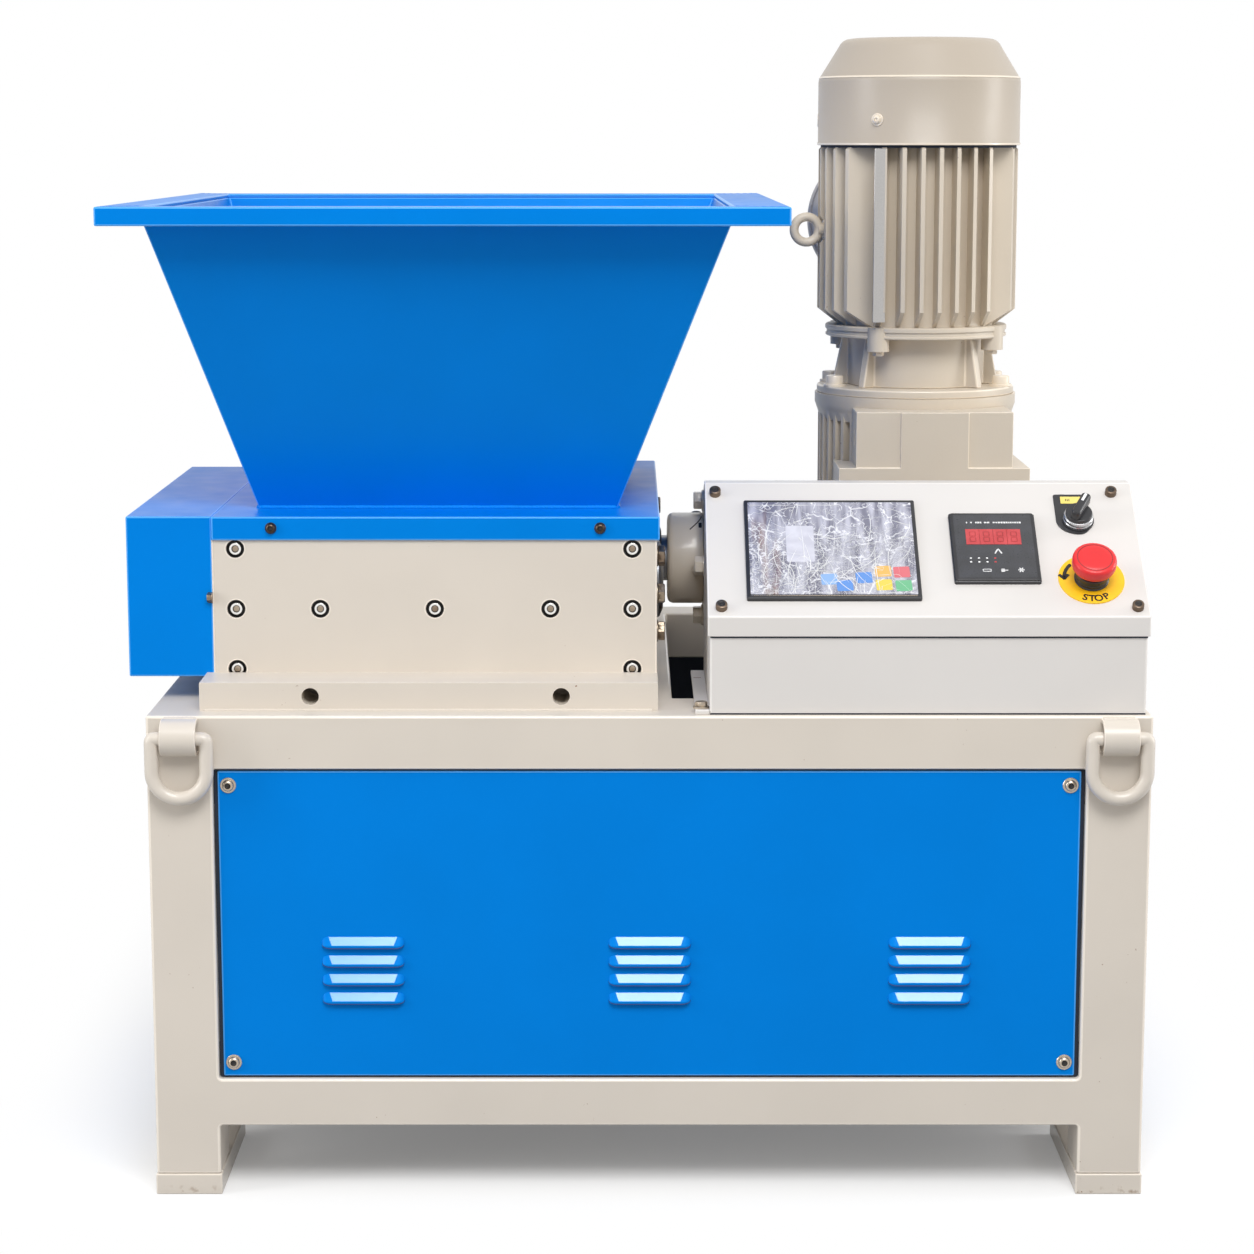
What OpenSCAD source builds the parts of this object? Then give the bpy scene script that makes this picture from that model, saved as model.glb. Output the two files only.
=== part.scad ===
// Double shaft shredder: a shredding chamber with a hopper, driven from the right by a
// geared motor, on a closed welded frame with a sloping control box.
// +X runs to the right, +Y to the back, +Z up. The origin is on the floor under the
// middle of the frame.

/* [Frame] */
// Width of the frame over its posts
frame_w = 920; // [880:10:1200]
// Depth of the frame, front to back
frame_d = 650; // [640:10:900]
// Height of the table top above the floor
table_z = 456; // [400:1:700]
// Thickness of the table plate
table_t = 12; // [8:1:20]
// Side of the square posts
post_w = 60; // [50:1:70]
// Height of the top rails with the table plate
top_rail_h = 50; // [40:1:70]
// Height of the bottom rails
bottom_rail_h = 45; // [40:1:70]
// Clear height under the bottom rails
bottom_rail_z = 67; // [50:1:120]
// Depth of the rails, inwards from their face
rail_d = 50; // [40:1:60]
// Height of a foot bar
foot_h = 20; // [12:1:30]
// Length of a foot bar, front to back
foot_l = 172; // [120:1:220]
// Width of a foot bar
foot_w = 62; // [60:1:80]

/* [Side panels] */
// Thickness of a panel's sheet
panel_t = 3; // [2:0.5:5]
// Distance of a panel's face behind the rails' face
panel_inset = 4; // [2:0.5:10]
// Gap between a panel and the posts
panel_side_gap = 4; // [1:0.5:8]
// Gap between a panel and the rails
panel_end_gap = 2; // [1:0.5:6]
// Side of a square corner tab that a panel is screwed to
tab_w = 34; // [25:1:45]
// Thickness of a corner tab
tab_t = 5; // [3:1:8]

/* [Lifting rings] */
// Diameter of a ring's rod
ring_rod = 13; // [10:0.5:16]
// Width of a ring over its rod
ring_w = 63; // [58:1:80]
// Distance from a ring's pivot to its lowest point
ring_l = 62; // [55:1:90]
// Bend radius of a ring's upper corners, on the rod's centre line
ring_bend = 9; // [8:0.5:12]
// Depth of a ring's pivot below the table top
ring_drop = 19; // [18:1:30]
// Gap between a hanging ring and the post
ring_gap = 5.2; // [5:0.1:8]
// Gap between a ring's sides and the half round strap that holds it
strap_side_gap = 2; // [1:0.5:4]
// Thickness of the strap
strap_t = 4; // [3:0.5:6]
// Inner radius of the strap
strap_r = 13; // [12:0.5:16]

/* [Shredding chamber] */
// Distance from the frame's left side to the chamber's left plate
chamber_x = 53; // [40:1:70]
// Width of the chamber over its two bearing plates
chamber_w = 414; // [380:1:440]
// Depth of the chamber over its front and rear plates
chamber_d = 487; // [470:1:520]
// Height of the chamber's plates
chamber_h = 151; // [145:1:180]
// Thickness of the left and right bearing plates
bearing_plate_t = 40; // [25:1:50]
// Thickness of the front and rear plates
long_plate_t = 25; // [15:1:35]
// Width of a base bar, out from the chamber
base_bar_w = 55; // [40:1:70]
// Height of a base bar
base_bar_h = 26; // [22:1:40]
// Length of a base bar past the chamber's left plate
base_bar_left = 7; // [0:1:20]
// Length of a base bar past the chamber's right plate
base_bar_right = 1; // [0:1:10]
// Diameter of the two holes through a base bar
base_hole_d = 16; // [8:1:18]
// Distance between those two holes
base_hole_pitch = 231; // [150:1:300]
// Sideways shift of the pair of holes from the chamber's middle
base_hole_shift = 3.5; // [0:0.5:10]

/* [Hopper] */
// Thickness of the cover plate under the hopper
cover_t = 22; // [12:1:30]
// Overhang of the cover plate past the chamber
cover_over = 3; // [1:0.5:6]
// Outer width of the hopper's foot
hopper_foot_w = 341; // [330:1:360]
// Outer depth of the hopper's foot
hopper_foot_d = 356; // [350:1:380]
// Outer width of the hopper's mouth
hopper_mouth_w = 537; // [480:1:560]
// Outer depth of the hopper's mouth
hopper_mouth_d = 602; // [520:1:610]
// Height of the hopper's walls
hopper_h = 283; // [200:1:400]
// Thickness of the hopper's walls
hopper_t = 4; // [2:0.5:6]
// Sideways shift of the mouth from the foot
hopper_shift = 9.5; // [0:0.5:20]
// Reach of the rim past the mouth on the left and right
rim_side = 41; // [20:1:60]
// Reach of the rim past the mouth at the front and back
rim_front = 29; // [20:1:60]
// Sideways shift of the rim from the mouth
rim_shift = 6.5; // [0:0.5:10]
// Height of the rim's turned down lip
rim_lip_h = 17; // [10:1:30]
// Thickness of the rim's sheet
rim_t = 4; // [2:0.5:6]

/* [Gear cover] */
// Width of the cover over the timing gears
gear_cover_w = 80; // [60:1:85]
// Distance from the middle of the chamber to that cover's rear face
gear_cover_rear = 186; // [160:1:240]
// Gap between that cover and the table
gear_cover_gap = 22; // [10:1:40]
// Thickness of its sheet
gear_cover_t = 3; // [2:0.5:5]

/* [Rotors] */
// Distance between the two shafts
shaft_pitch = 150; // [149:0.5:152]
// Height of the shafts above the table top
shaft_h = 90; // [88:1:100]
// Diameter of the shafts in their bearings
shaft_d = 47; // [35:1:50]
// Width across flats of the shafts between the bearings
hex_af = 58; // [50:1:70]
// Length of the shaft's end inside the gear cover
shaft_tail = 40; // [20:1:45]
// Radius over a cutter's hooks
hook_r = 84; // [80:1:85]
// Radius of a cutter's disc
disc_r = 70; // [66:1:74]
// Gap between a cutter's hooks and the spacers of the other shaft
tip_gap = 8; // [5:0.5:12]
// Thickness of a cutter
disc_t = 20; // [14:1:20]
// Distance from one cutter to the next on a shaft
disc_pitch = 50; // [50:1:56]
// Number of hooks on a cutter
hooks = 5; // [3:1:6]
// Turn from one cutter to the next, in degrees
disc_turn = 17; // [0:1:40]
// Outer radius of a bearing cap
cap_r = 38; // [30:1:45]
// Thickness of a bearing cap
cap_t = 8; // [5:1:10]

/* [Clearances] */
// Gap on each side of a cutter and at the tips of the combs
run_gap = 5; // [5:0.1:6]
// Radial play of a shaft in its bearing
bearing_gap = 0.05; // [0.02:0.01:0.08]
// Radial play of cutters and spacers on the shaft
hex_gap = 0.1; // [0.05:0.05:0.2]
// Gap between a moving piece and its seat
seat_gap = 0.3; // [0.2:0.1:0.5]

/* [Coupling and gearbox] */
// Radius of the coupling
coupling_r = 47; // [38:1:55]
// Length of the coupling
coupling_l = 37; // [25:1:40]
// Gap between the bearing cap and the coupling
coupling_gap = 6; // [5:1:10]
// Radius of the gearbox's output flange
output_r = 78; // [65:1:88]
// Thickness of the output flange
output_t = 14; // [8:1:20]
// Radius of the neck behind the output flange
neck_r = 62; // [50:1:64]
// Width of the gearbox
gearbox_w = 189; // [170:1:200]
// Depth of the gearbox
gearbox_d = 270; // [240:1:280]
// Height of the gearbox's lower case
gearbox_h = 198; // [170:1:240]
// Sideways shift of the gearbox from the motor
gearbox_shift = 8; // [0:1:12]
// Height of the gearbox's base plate
gearbox_base_h = 16; // [10:1:30]
// Overhang of the base plate on each side
gearbox_base_over = 7; // [4:1:10]
// Width of the gearbox's upper block
block_w = 155; // [130:1:165]
// Height of the upper block
block_h = 55; // [40:1:80]
// Depth by which the upper block's face stands back
block_step = 3; // [1:0.5:8]
// Width of the tongue on the front of the upper block
tongue_w = 67; // [40:1:90]
// Outer radius of the ribbed barrel
barrel_r = 99; // [94:1:100]
// Depth of the barrel's ribs
barrel_rib = 9; // [4:1:14]
// Number of ribs round the barrel
barrel_ribs = 48; // [24:4:60]
// Gap between the neck and the barrel above it
barrel_gap = 4; // [2:1:12]
// Height of the flare between the barrel and the mounting ring
flare_h = 16; // [8:1:24]

/* [Motor] */
// Distance from the chamber's right plate to the motor's axis
motor_x = 268.5; // [260:0.5:280]
// Radius of the mounting ring on top of the gearbox
ring_flange_r = 102.5; // [100:0.5:106]
// Height of the mounting ring
ring_flange_h = 10; // [6:0.5:16]
// Radius of the motor's flange
motor_flange_r = 100.5; // [98:0.5:104]
// Thickness of the motor's flange
motor_flange_t = 8; // [6:0.5:14]
// Radius of the bell between flange and end shield
bell_r = 69; // [60:1:75]
// Height of the bell
bell_h = 50; // [40:1:70]
// Angle between the three ribs on each side of the bell, in degrees
rib_turn = 45; // [35:1:50]
// Radius of the end shield
shield_r = 91; // [86:1:94]
// Height of the end shield
shield_h = 12; // [8:1:18]
// Radius of the four lugs on the end shield
lug_r = 11; // [8:0.5:12]
// Radius of the motor over its fins
fin_r = 101; // [98:1:101]
// Radius of the motor's barrel between the fins
motor_core_r = 80; // [74:1:84]
// Height of the finned barrel
motor_h = 180; // [150:1:240]
// Thickness of a fin
fin_t = 4; // [3:0.5:5]
// Distance from fin to fin
fin_pitch = 18; // [16:1:20]
// Turn of the four groups of fins and of the eye bolt, in degrees
fin_turn = 8; // [0:1:20]
// Turn of the lugs and of the terminal box, in degrees
lug_turn = 14; // [0:1:20]
// Height of the slope at a fin's lower end
fin_foot_h = 16; // [8:1:24]
// Size of the chamfer at a fin's upper end
fin_head = 4; // [2:0.5:8]
// Radius of the fan cowl
cowl_r = 102; // [102:0.5:106]
// Height of the cowl's straight side
cowl_h = 68; // [50:1:90]
// Height of the cowl's cone
cowl_cone_h = 38; // [25:1:50]
// Radius of the cowl's top
cowl_top_r = 78; // [60:1:90]
// Radius of the round terminal box
terminal_r = 70; // [50:1:72]
// Distance from the motor's axis to the terminal box's lid
terminal_reach = 150; // [130:1:160]
// Gap between the terminal box and the fan cowl
terminal_gap = 8; // [2:1:20]

/* [Eye bolt] */
// Outer diameter of the eye
eye_d = 34; // [34:1:44]
// Diameter of the eye's hole
eye_hole_d = 20; // [18:1:24]
// Height of the eye bolt above the end shield
eye_z = 95.5; // [60:1:110]
// Distance from the motor's axis to the eye's centre
eye_reach = 115; // [115:1:120]
// Radius of the boss that the eye bolt is screwed into
eye_boss_r = 8; // [6:0.5:10]
// Gap between the eye and the end of the boss
eye_boss_gap = 1; // [0.5:0.5:2]
// Gap between the eye and the notch in the fin behind it
eye_notch_gap = 3; // [3:0.5:5]

/* [Control box] */
// Distance from the chamber's right plate to the control box
control_gap = 46; // [40:1:60]
// Width of the control box over its lid
control_w = 403; // [390:1:405]
// Setback of the lid's lip from the frame's front
control_inset = 4; // [0:1:10]
// Depth of the control box's body
control_d = 222; // [215:1:235]
// Height of the lid's front edge above the table
control_front_h = 91; // [70:1:100]
// Height of the lid's ridge above the table
control_ridge_h = 198; // [180:1:210]
// Length of the slope from front to ridge, measured level
control_slope_d = 134; // [125:1:150]
// Depth of the flat strip on the ridge
control_top_d = 22; // [10:1:40]
// Height of the control box's back
control_back_h = 145; // [120:1:170]
// Thickness of the lid
lid_t = 3; // [2:0.5:4]
// Height of the lid's front lip
lid_lip_h = 18.5; // [10:0.5:30]
// Overhang of the lid on each side
lid_over = 2; // [1:0.5:3]
// Width of the mounting bracket on the left
bracket_w = 13; // [10:1:16]
// Length of that bracket
bracket_l = 210; // [150:1:215]
// Thickness of that bracket
bracket_t = 4; // [3:1:6]

/* [Screen and meter] */
// Width of the touch screen
screen_w = 160; // [140:1:165]
// Height of the touch screen
screen_h = 126; // [110:1:130]
// Thickness of the touch screen's bezel
screen_t = 4; // [2:0.5:8]
// Distance from the lid's left edge to the touch screen
screen_x = 36; // [25:1:45]
// Distance from the lid's front edge to the touch screen
screen_v = 19; // [15:1:30]
// Side of the panel meter across the lid
meter_w = 80; // [72:1:82]
// Side of the panel meter up the lid
meter_h = 88; // [72:1:90]
// Thickness of the panel meter's bezel
meter_t = 3; // [2:0.5:8]
// Distance from the touch screen to the panel meter
meter_gap = 31; // [25:1:35]
// Distance from the lid's front edge to the panel meter
meter_v = 40; // [35:1:50]

/* [Selector switch] */
// Distance from the panel meter to the selector's axis
selector_gap = 41; // [38:1:45]
// Distance from the lid's front edge to the selector
selector_v = 121; // [112:1:122]
// Width of the selector's label plate
selector_plate_w = 35; // [34:1:40]
// Distance from the selector's axis to the label plate's upper edge
selector_plate_up = 34; // [20:1:36]
// Thickness of the label plate
selector_plate_t = 1.5; // [1:0.5:2]
// Radius of the selector's ring
selector_r = 15; // [14:0.5:16]
// Height of the selector's ring
selector_ring_h = 7; // [5:0.5:10]
// Turn of the handle to the right of upright, in degrees
selector_turn = 30; // [0:5:45]
// Length of the handle from its axis to its tip
handle_l = 24; // [20:1:26]
// Width of the handle
handle_w = 8; // [6:0.5:10]
// Height of the handle above its disc
handle_h = 9; // [7:0.5:12]
// Thickness of the knob's disc
knob_t = 4; // [3:0.5:6]
// Radius of the spindles of knob and stop button
spindle_r = 8; // [5:0.5:9]

/* [Stop button] */
// Distance from the panel meter to the stop button's axis
stop_gap = 46; // [40:1:50]
// Distance from the lid's front edge to the stop button
stop_v = 46; // [44:1:52]
// Radius of the round label under the button
stop_label_r = 32; // [28:1:34]
// Thickness of the label
stop_label_t = 1.5; // [1:0.5:2]
// Radius of the collar
collar_r = 15; // [14:0.5:18]
// Height of the collar above the label
collar_h = 10; // [8:0.5:12]
// Radius of the mushroom head
button_r = 20.5; // [18:0.5:22]
// Height of the mushroom head
button_h = 14; // [10:0.5:18]
// Travel of the button
button_travel = 5; // [3:0.5:6]
// Gap that is left under the pressed button
button_gap = 3; // [2:0.5:4]

/* [Hidden] */
$fn = 64;

beige = "#d6cec2";
blue = "#0a6fd0";
cream = "#ece8e4";
steel = "#8d9094";
black = "#26272a";

// Frame
post_x = frame_w / 2 - post_w;
post_y = frame_d / 2 - post_w;
top_rail_z = table_z - top_rail_h;
rail_top_z = table_z - table_t;
rail_ends = [[bottom_rail_z, bottom_rail_z + bottom_rail_h], [top_rail_z, rail_top_z]];
panel_z0 = bottom_rail_z + bottom_rail_h + panel_end_gap;
panel_z1 = top_rail_z - panel_end_gap;

// Chamber
chamber_x0 = chamber_x - frame_w / 2;
chamber_x1 = chamber_x0 + chamber_w;
chamber_mid = (chamber_x0 + chamber_x1) / 2;
chamber_y = chamber_d / 2;
chamber_z = table_z + chamber_h;
cut_x0 = chamber_x0 + bearing_plate_t;
cut_x1 = chamber_x1 - bearing_plate_t;
cut_w = cut_x1 - cut_x0;
wall_y = chamber_y - long_plate_t;

// Rotors
shaft_y = shaft_pitch / 2;
shaft_z = table_z + shaft_h;
discs = floor((cut_w - disc_t - 2 * run_gap) / disc_pitch) + 1;
disc_x0 = cut_x0 + (cut_w - (discs - 1) * disc_pitch - disc_t) / 2;
hex_r = hex_af / 2 / cos(30);
spacer_r = shaft_pitch - hook_r - tip_gap;
coupling_x0 = chamber_x1 + cap_t + coupling_gap;
coupling_x1 = coupling_x0 + coupling_l;

// Hopper
cover_z = chamber_z + cover_t;
foot_x = chamber_mid;
mouth_x = foot_x + hopper_shift;
mouth_z = cover_z + hopper_h;
throat_d = hopper_foot_d - 2 * hopper_t;
rim_x = mouth_x + rim_shift;
rim_w = hopper_mouth_w + 2 * rim_side;
rim_d = hopper_mouth_d + 2 * rim_front;
rim_z = mouth_z + rim_t;

// Gearbox and motor
axis_x = chamber_x1 + motor_x;
axis_y = shaft_y;
gearbox_x = axis_x + gearbox_shift;
gearbox_x0 = gearbox_x - gearbox_w / 2;
gearbox_x1 = gearbox_x + gearbox_w / 2;
gearbox_y0 = axis_y - gearbox_d / 2;
gearbox_y1 = axis_y + gearbox_d / 2;
gearbox_z = table_z + gearbox_h;
block_z = gearbox_z + block_h;
barrel_z = shaft_z + neck_r + barrel_gap;
flare_z = block_z - flare_h;
ring_flange_z = block_z + ring_flange_h;
motor_flange_z = ring_flange_z + motor_flange_t;
shield_z = motor_flange_z + bell_h;
barrel_z0 = shield_z + shield_h;
cowl_z = barrel_z0 + motor_h;
terminal_z = motor_h - terminal_r - terminal_gap;
eye_boss_reach = eye_reach - eye_d / 2 - eye_boss_gap;

// Opening in the table under the coupling: the strips of table that are left beside it
left_strip = 15;
right_strip = 4;
front_over = 17;
drive_open_x0 = chamber_x1 + left_strip;
drive_open_x1 = gearbox_x0 - gearbox_base_over - right_strip;
drive_open_y0 = -wall_y - front_over;
drive_open_y1 = frame_d / 2 - rail_d;

// Control box
control_x0 = chamber_x1 + control_gap;
control_x1 = control_x0 + control_w;
lid_y = control_inset - frame_d / 2;
body_y = lid_y + lid_t;
lid_z = table_z + control_front_h;
ridge_y = lid_y + control_slope_d;
ridge_z = table_z + control_ridge_h;
lid_angle = atan2(ridge_z - lid_z, ridge_y - lid_y);
lid_drop = lid_t / cos(lid_angle);
lid_in_z = lid_z + lid_t * tan(lid_angle) - lid_drop;
ridge_in_y = ridge_y + (lid_drop - lid_t) / tan(lid_angle);
lid_end_y = ridge_y + control_top_d;
back_y = body_y + control_d;
button_z = stop_label_t + collar_h + button_gap + button_travel;
meter_x = screen_x + screen_w + meter_gap;
selector_x = meter_x + meter_w + selector_gap;
stop_x = meter_x + meter_w + stop_gap;
knob_z = selector_plate_t + selector_ring_h + seat_gap;

// A box from its low and high corners.
module slab(x, y, z) {
    translate([x[0], y[0], z[0]]) cube([x[1] - x[0], y[1] - y[0], z[1] - z[0]]);
}

// A bar along X with a round section.
module bar_x(x0, x1, y, z, r) {
    translate([x0, y, z]) rotate([0, 90, 0]) cylinder(h = x1 - x0, r = r);
}

// A profile in Y and Z, drawn out along X.
module along_x(x0, x1) {
    translate([x0, 0, 0]) rotate([90, 0, 90]) linear_extrude(x1 - x0) children();
}

// The same piece on both sides of a plane through the origin.
module both(side) {
    children();
    mirror(side) children();
}

// Puts its children on the sloping lid: X across, Y up the slope, Z out of it.
module on_lid(x, v) {
    translate([0, lid_y, lid_z]) rotate([lid_angle, 0, 0])
        translate([control_x0 + x, v, 0]) children();
}

// Frame

module posts() {
    color(beige) both([1, 0, 0]) both([0, 1, 0])
        slab([post_x, post_x + post_w], [post_y, post_y + post_w], [foot_h, rail_top_z]);
}

module rails(z) {
    color(beige) {
        both([0, 1, 0]) slab([-post_x, post_x], [frame_d / 2 - rail_d, frame_d / 2], z);
        both([1, 0, 0]) slab([frame_w / 2 - rail_d, frame_w / 2], [-post_y, post_y], z);
    }
}

module top_rails() {
    rails(rail_ends[1]);
}

module bottom_rails() {
    rails(rail_ends[0]);
}

module feet() {
    mid = frame_w / 2 - post_w / 2;
    color(beige) both([1, 0, 0]) both([0, 1, 0])
        slab([mid - foot_w / 2, mid + foot_w / 2], [frame_d / 2 - foot_l, frame_d / 2], [0, foot_h]);
}

module table_top() {
    open_z = [rail_top_z - 1, table_z + 1];
    color(beige) difference() {
        slab([-frame_w / 2, frame_w / 2], [-frame_d / 2, frame_d / 2], [rail_top_z, table_z]);
        slab([cut_x0, cut_x1], [-throat_d / 2, throat_d / 2], open_z);
        slab([drive_open_x0, drive_open_x1], [drive_open_y0, drive_open_y1], open_z);
    }
}

// Corner tabs behind the panels of two opposite sides.
module tab_set(half_w, half_d) {
    y0 = half_d - panel_inset - panel_t - tab_t;
    both([1, 0, 0]) both([0, 1, 0])
        for (z = [panel_z0 - panel_end_gap, panel_z1 + panel_end_gap - tab_w])
            slab([half_w - post_w - tab_w, half_w - post_w], [y0, y0 + tab_t], [z, z + tab_w]);
}

module panel_tabs() {
    color(beige) {
        tab_set(frame_w / 2, frame_d / 2);
        rotate([0, 0, 90]) tab_set(frame_d / 2, frame_w / 2);
    }
}

// A panel that faces +Y, half_w from the middle to each post.
module side_panel(half_w, half_d) {
    x = half_w - post_w - panel_side_gap;
    y = half_d - panel_inset;
    color(blue) slab([-x, x], [y - panel_t, y], [panel_z0, panel_z1]);
}

module front_panel() {
    mirror([0, 1, 0]) side_panel(frame_w / 2, frame_d / 2);
}

module rear_panel() {
    side_panel(frame_w / 2, frame_d / 2);
}

module left_panel() {
    rotate([0, 0, 90]) side_panel(frame_d / 2, frame_w / 2);
}

module right_panel() {
    rotate([0, 0, -90]) side_panel(frame_d / 2, frame_w / 2);
}

// Lifting rings

ring_x = frame_w / 2 - ring_w / 2;
ring_y = frame_d / 2 + ring_gap + ring_rod / 2;
ring_z = table_z - ring_drop;
strap_w = ring_w - 2 * ring_rod - 2 * strap_side_gap;

module ring_straps() {
    loop_y = ring_y + ring_rod / 2 + seat_gap - strap_r;
    outer = strap_r + strap_t;
    color(beige) both([1, 0, 0]) both([0, 1, 0])
        along_x(ring_x - strap_w / 2, ring_x + strap_w / 2) difference() {
            union() {
                translate([loop_y, ring_z]) circle(outer);
                translate([frame_d / 2, ring_z - outer]) square([loop_y - frame_d / 2, 2 * outer]);
            }
            translate([loop_y, ring_z]) circle(strap_r);
            translate([frame_d / 2 - outer, ring_z - strap_r])
                square([loop_y - frame_d / 2 + outer, 2 * strap_r]);
            translate([frame_d / 2 - 2 * outer, ring_z - 2 * outer]) square([2 * outer, 4 * outer]);
        }
}

// A hanging ring at the rear right corner: pivot bar, two bends, two sides and a round foot.
module lifting_ring() {
    r = ring_rod / 2;
    half = ring_w / 2 - r;
    side = ring_l - r - half;
    color(beige) translate([ring_x, ring_y, ring_z]) {
        bar_x(-half + ring_bend, half - ring_bend, 0, 0, r);
        both([1, 0, 0]) {
            translate([half - ring_bend, 0, -ring_bend]) rotate([90, 0, 0])
                rotate_extrude(angle = 90) translate([ring_bend, 0]) circle(r);
            translate([half, 0, -side]) cylinder(h = side - ring_bend, r = r);
        }
        translate([0, 0, -side]) rotate([90, 0, 0])
            rotate_extrude(angle = -180) translate([half, 0]) circle(r);
    }
}

module ring_rear_right() {
    lifting_ring();
}

module ring_rear_left() {
    mirror([1, 0, 0]) lifting_ring();
}

module ring_front_right() {
    mirror([0, 1, 0]) lifting_ring();
}

module ring_front_left() {
    mirror([1, 0, 0]) mirror([0, 1, 0]) lifting_ring();
}

// Shredding chamber

module chamber_rear_plate() {
    color(beige) slab([chamber_x0, chamber_x1], [wall_y, chamber_y], [table_z, chamber_z]);
}

module chamber_front_plate() {
    mirror([0, 1, 0]) chamber_rear_plate();
}

// A plate between the front and rear plates with a bearing bore for each shaft.
module bearing_plate(x0) {
    color(beige) difference() {
        slab([x0, x0 + bearing_plate_t], [-wall_y, wall_y], [table_z, chamber_z]);
        both([0, 1, 0]) bar_x(x0 - 1, x0 + bearing_plate_t + 1, shaft_y, shaft_z, shaft_d / 2 + bearing_gap);
    }
}

module left_bearing_plate() {
    bearing_plate(chamber_x0);
}

module right_bearing_plate() {
    bearing_plate(cut_x1);
}

module bearing_caps() {
    color(steel) both([0, 1, 0]) difference() {
        bar_x(chamber_x1, chamber_x1 + cap_t, shaft_y, shaft_z, cap_r);
        bar_x(chamber_x1 - 1, chamber_x1 + cap_t + 1, shaft_y, shaft_z, shaft_d / 2 + bearing_gap);
    }
}

module base_bars() {
    x = [chamber_x0 - base_bar_left, chamber_x1 + base_bar_right];
    mid = chamber_mid + base_hole_shift;
    color(beige) both([0, 1, 0]) difference() {
        slab(x, [chamber_y, chamber_y + base_bar_w], [table_z, table_z + base_bar_h]);
        for (side = [-1, 1])
            translate([mid + side * base_hole_pitch / 2, chamber_y - 1, table_z + base_bar_h / 2])
                rotate([-90, 0, 0]) cylinder(h = base_bar_w + 2, d = base_hole_d);
    }
}

// A bar on the long wall with fingers that reach between the cutters of one rotor.
module comb(x0, count) {
    bar_y = shaft_y + hook_r + 2 * run_gap;
    tip_y = shaft_y + spacer_r + run_gap;
    half_h = spacer_r / 2;
    bar_half_h = 1.5 * half_h;
    finger_t = disc_pitch - disc_t - 2 * run_gap;
    slab([cut_x0, cut_x1], [bar_y, wall_y], [shaft_z - bar_half_h, shaft_z + bar_half_h]);
    for (i = [0 : count - 2])
        translate([x0 + i * disc_pitch + disc_t + run_gap, 0, 0])
            slab([0, finger_t], [tip_y, bar_y], [shaft_z - half_h, shaft_z + half_h]);
}

module combs() {
    color(steel) {
        comb(disc_x0, discs);
        mirror([0, 1, 0]) comb(disc_x0 + disc_pitch / 2, discs - 1);
    }
}

module hopper_cover() {
    color(blue) difference() {
        slab([chamber_x0, chamber_x1 + cover_over], [-chamber_y - cover_over, chamber_y + cover_over],
            [chamber_z, cover_z]);
        slab([cut_x0, cut_x1], [-throat_d / 2, throat_d / 2], [chamber_z - 1, cover_z + 1]);
    }
}

// A four sided funnel from foot to mouth, both reduced by inset on each side.
module funnel(inset, over) {
    fw = hopper_foot_w / 2 - inset;
    mw = hopper_mouth_w / 2 - inset;
    fd = hopper_foot_d / 2 - inset;
    md = hopper_mouth_d / 2 - inset;
    k = over / hopper_h;
    z0 = cover_z - over;
    z1 = mouth_z + over;
    dw = (mw - fw) * k;
    dd = (md - fd) * k;
    dx = hopper_shift * k;
    intersection() {
        translate([0, mouth_z, 0]) rotate([90, 0, 0]) linear_extrude(2 * mouth_z) polygon([
            [foot_x - dx - fw + dw, z0], [foot_x - dx + fw - dw, z0],
            [mouth_x + dx + mw + dw, z1], [mouth_x + dx - mw - dw, z1]
        ]);
        along_x(-frame_w, frame_w) polygon([
            [-fd + dd, z0], [fd - dd, z0], [md + dd, z1], [-md - dd, z1]
        ]);
    }
}

module hopper_walls() {
    color(blue) difference() {
        funnel(0, 0);
        funnel(hopper_t, 5);
    }
}

module hopper_rim() {
    x = [rim_x - rim_w / 2, rim_x + rim_w / 2];
    y = [-rim_d / 2, rim_d / 2];
    mouth = [hopper_mouth_w / 2 - hopper_t, hopper_mouth_d / 2 - hopper_t];
    color(blue) difference() {
        slab(x, y, [rim_z - rim_lip_h, rim_z]);
        slab([x[0] + rim_t, x[1] - rim_t], [y[0] + rim_t, y[1] - rim_t],
            [rim_z - rim_lip_h - 1, mouth_z]);
        slab([mouth_x - mouth[0], mouth_x + mouth[0]], [-mouth[1], mouth[1]],
            [mouth_z - 1, rim_z + 1]);
    }
}

module gear_cover() {
    t = gear_cover_t;
    x0 = chamber_x0 - gear_cover_w;
    z0 = table_z + gear_cover_gap;
    color(blue) difference() {
        slab([x0, chamber_x0], [-chamber_y, gear_cover_rear], [z0, cover_z]);
        slab([x0 + t, chamber_x0 + 1], [t - chamber_y, gear_cover_rear - t], [z0 + t, cover_z - t]);
    }
}

// Rotors: X runs along the shaft, and the axis is at y = 0 and z = 0.

module hex_bar(x0, x1, r) {
    translate([x0, 0, 0]) rotate([0, 90, 0]) cylinder(h = x1 - x0, r = r, $fn = 6);
}

module shaft(x1) {
    color(steel) {
        bar_x(chamber_x0 - shaft_tail, cut_x0 + run_gap / 2, 0, 0, shaft_d / 2);
        hex_bar(cut_x0 + run_gap / 2, cut_x1 - run_gap / 2, hex_r);
        bar_x(cut_x1 - run_gap / 2, x1, 0, 0, shaft_d / 2);
    }
}

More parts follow.
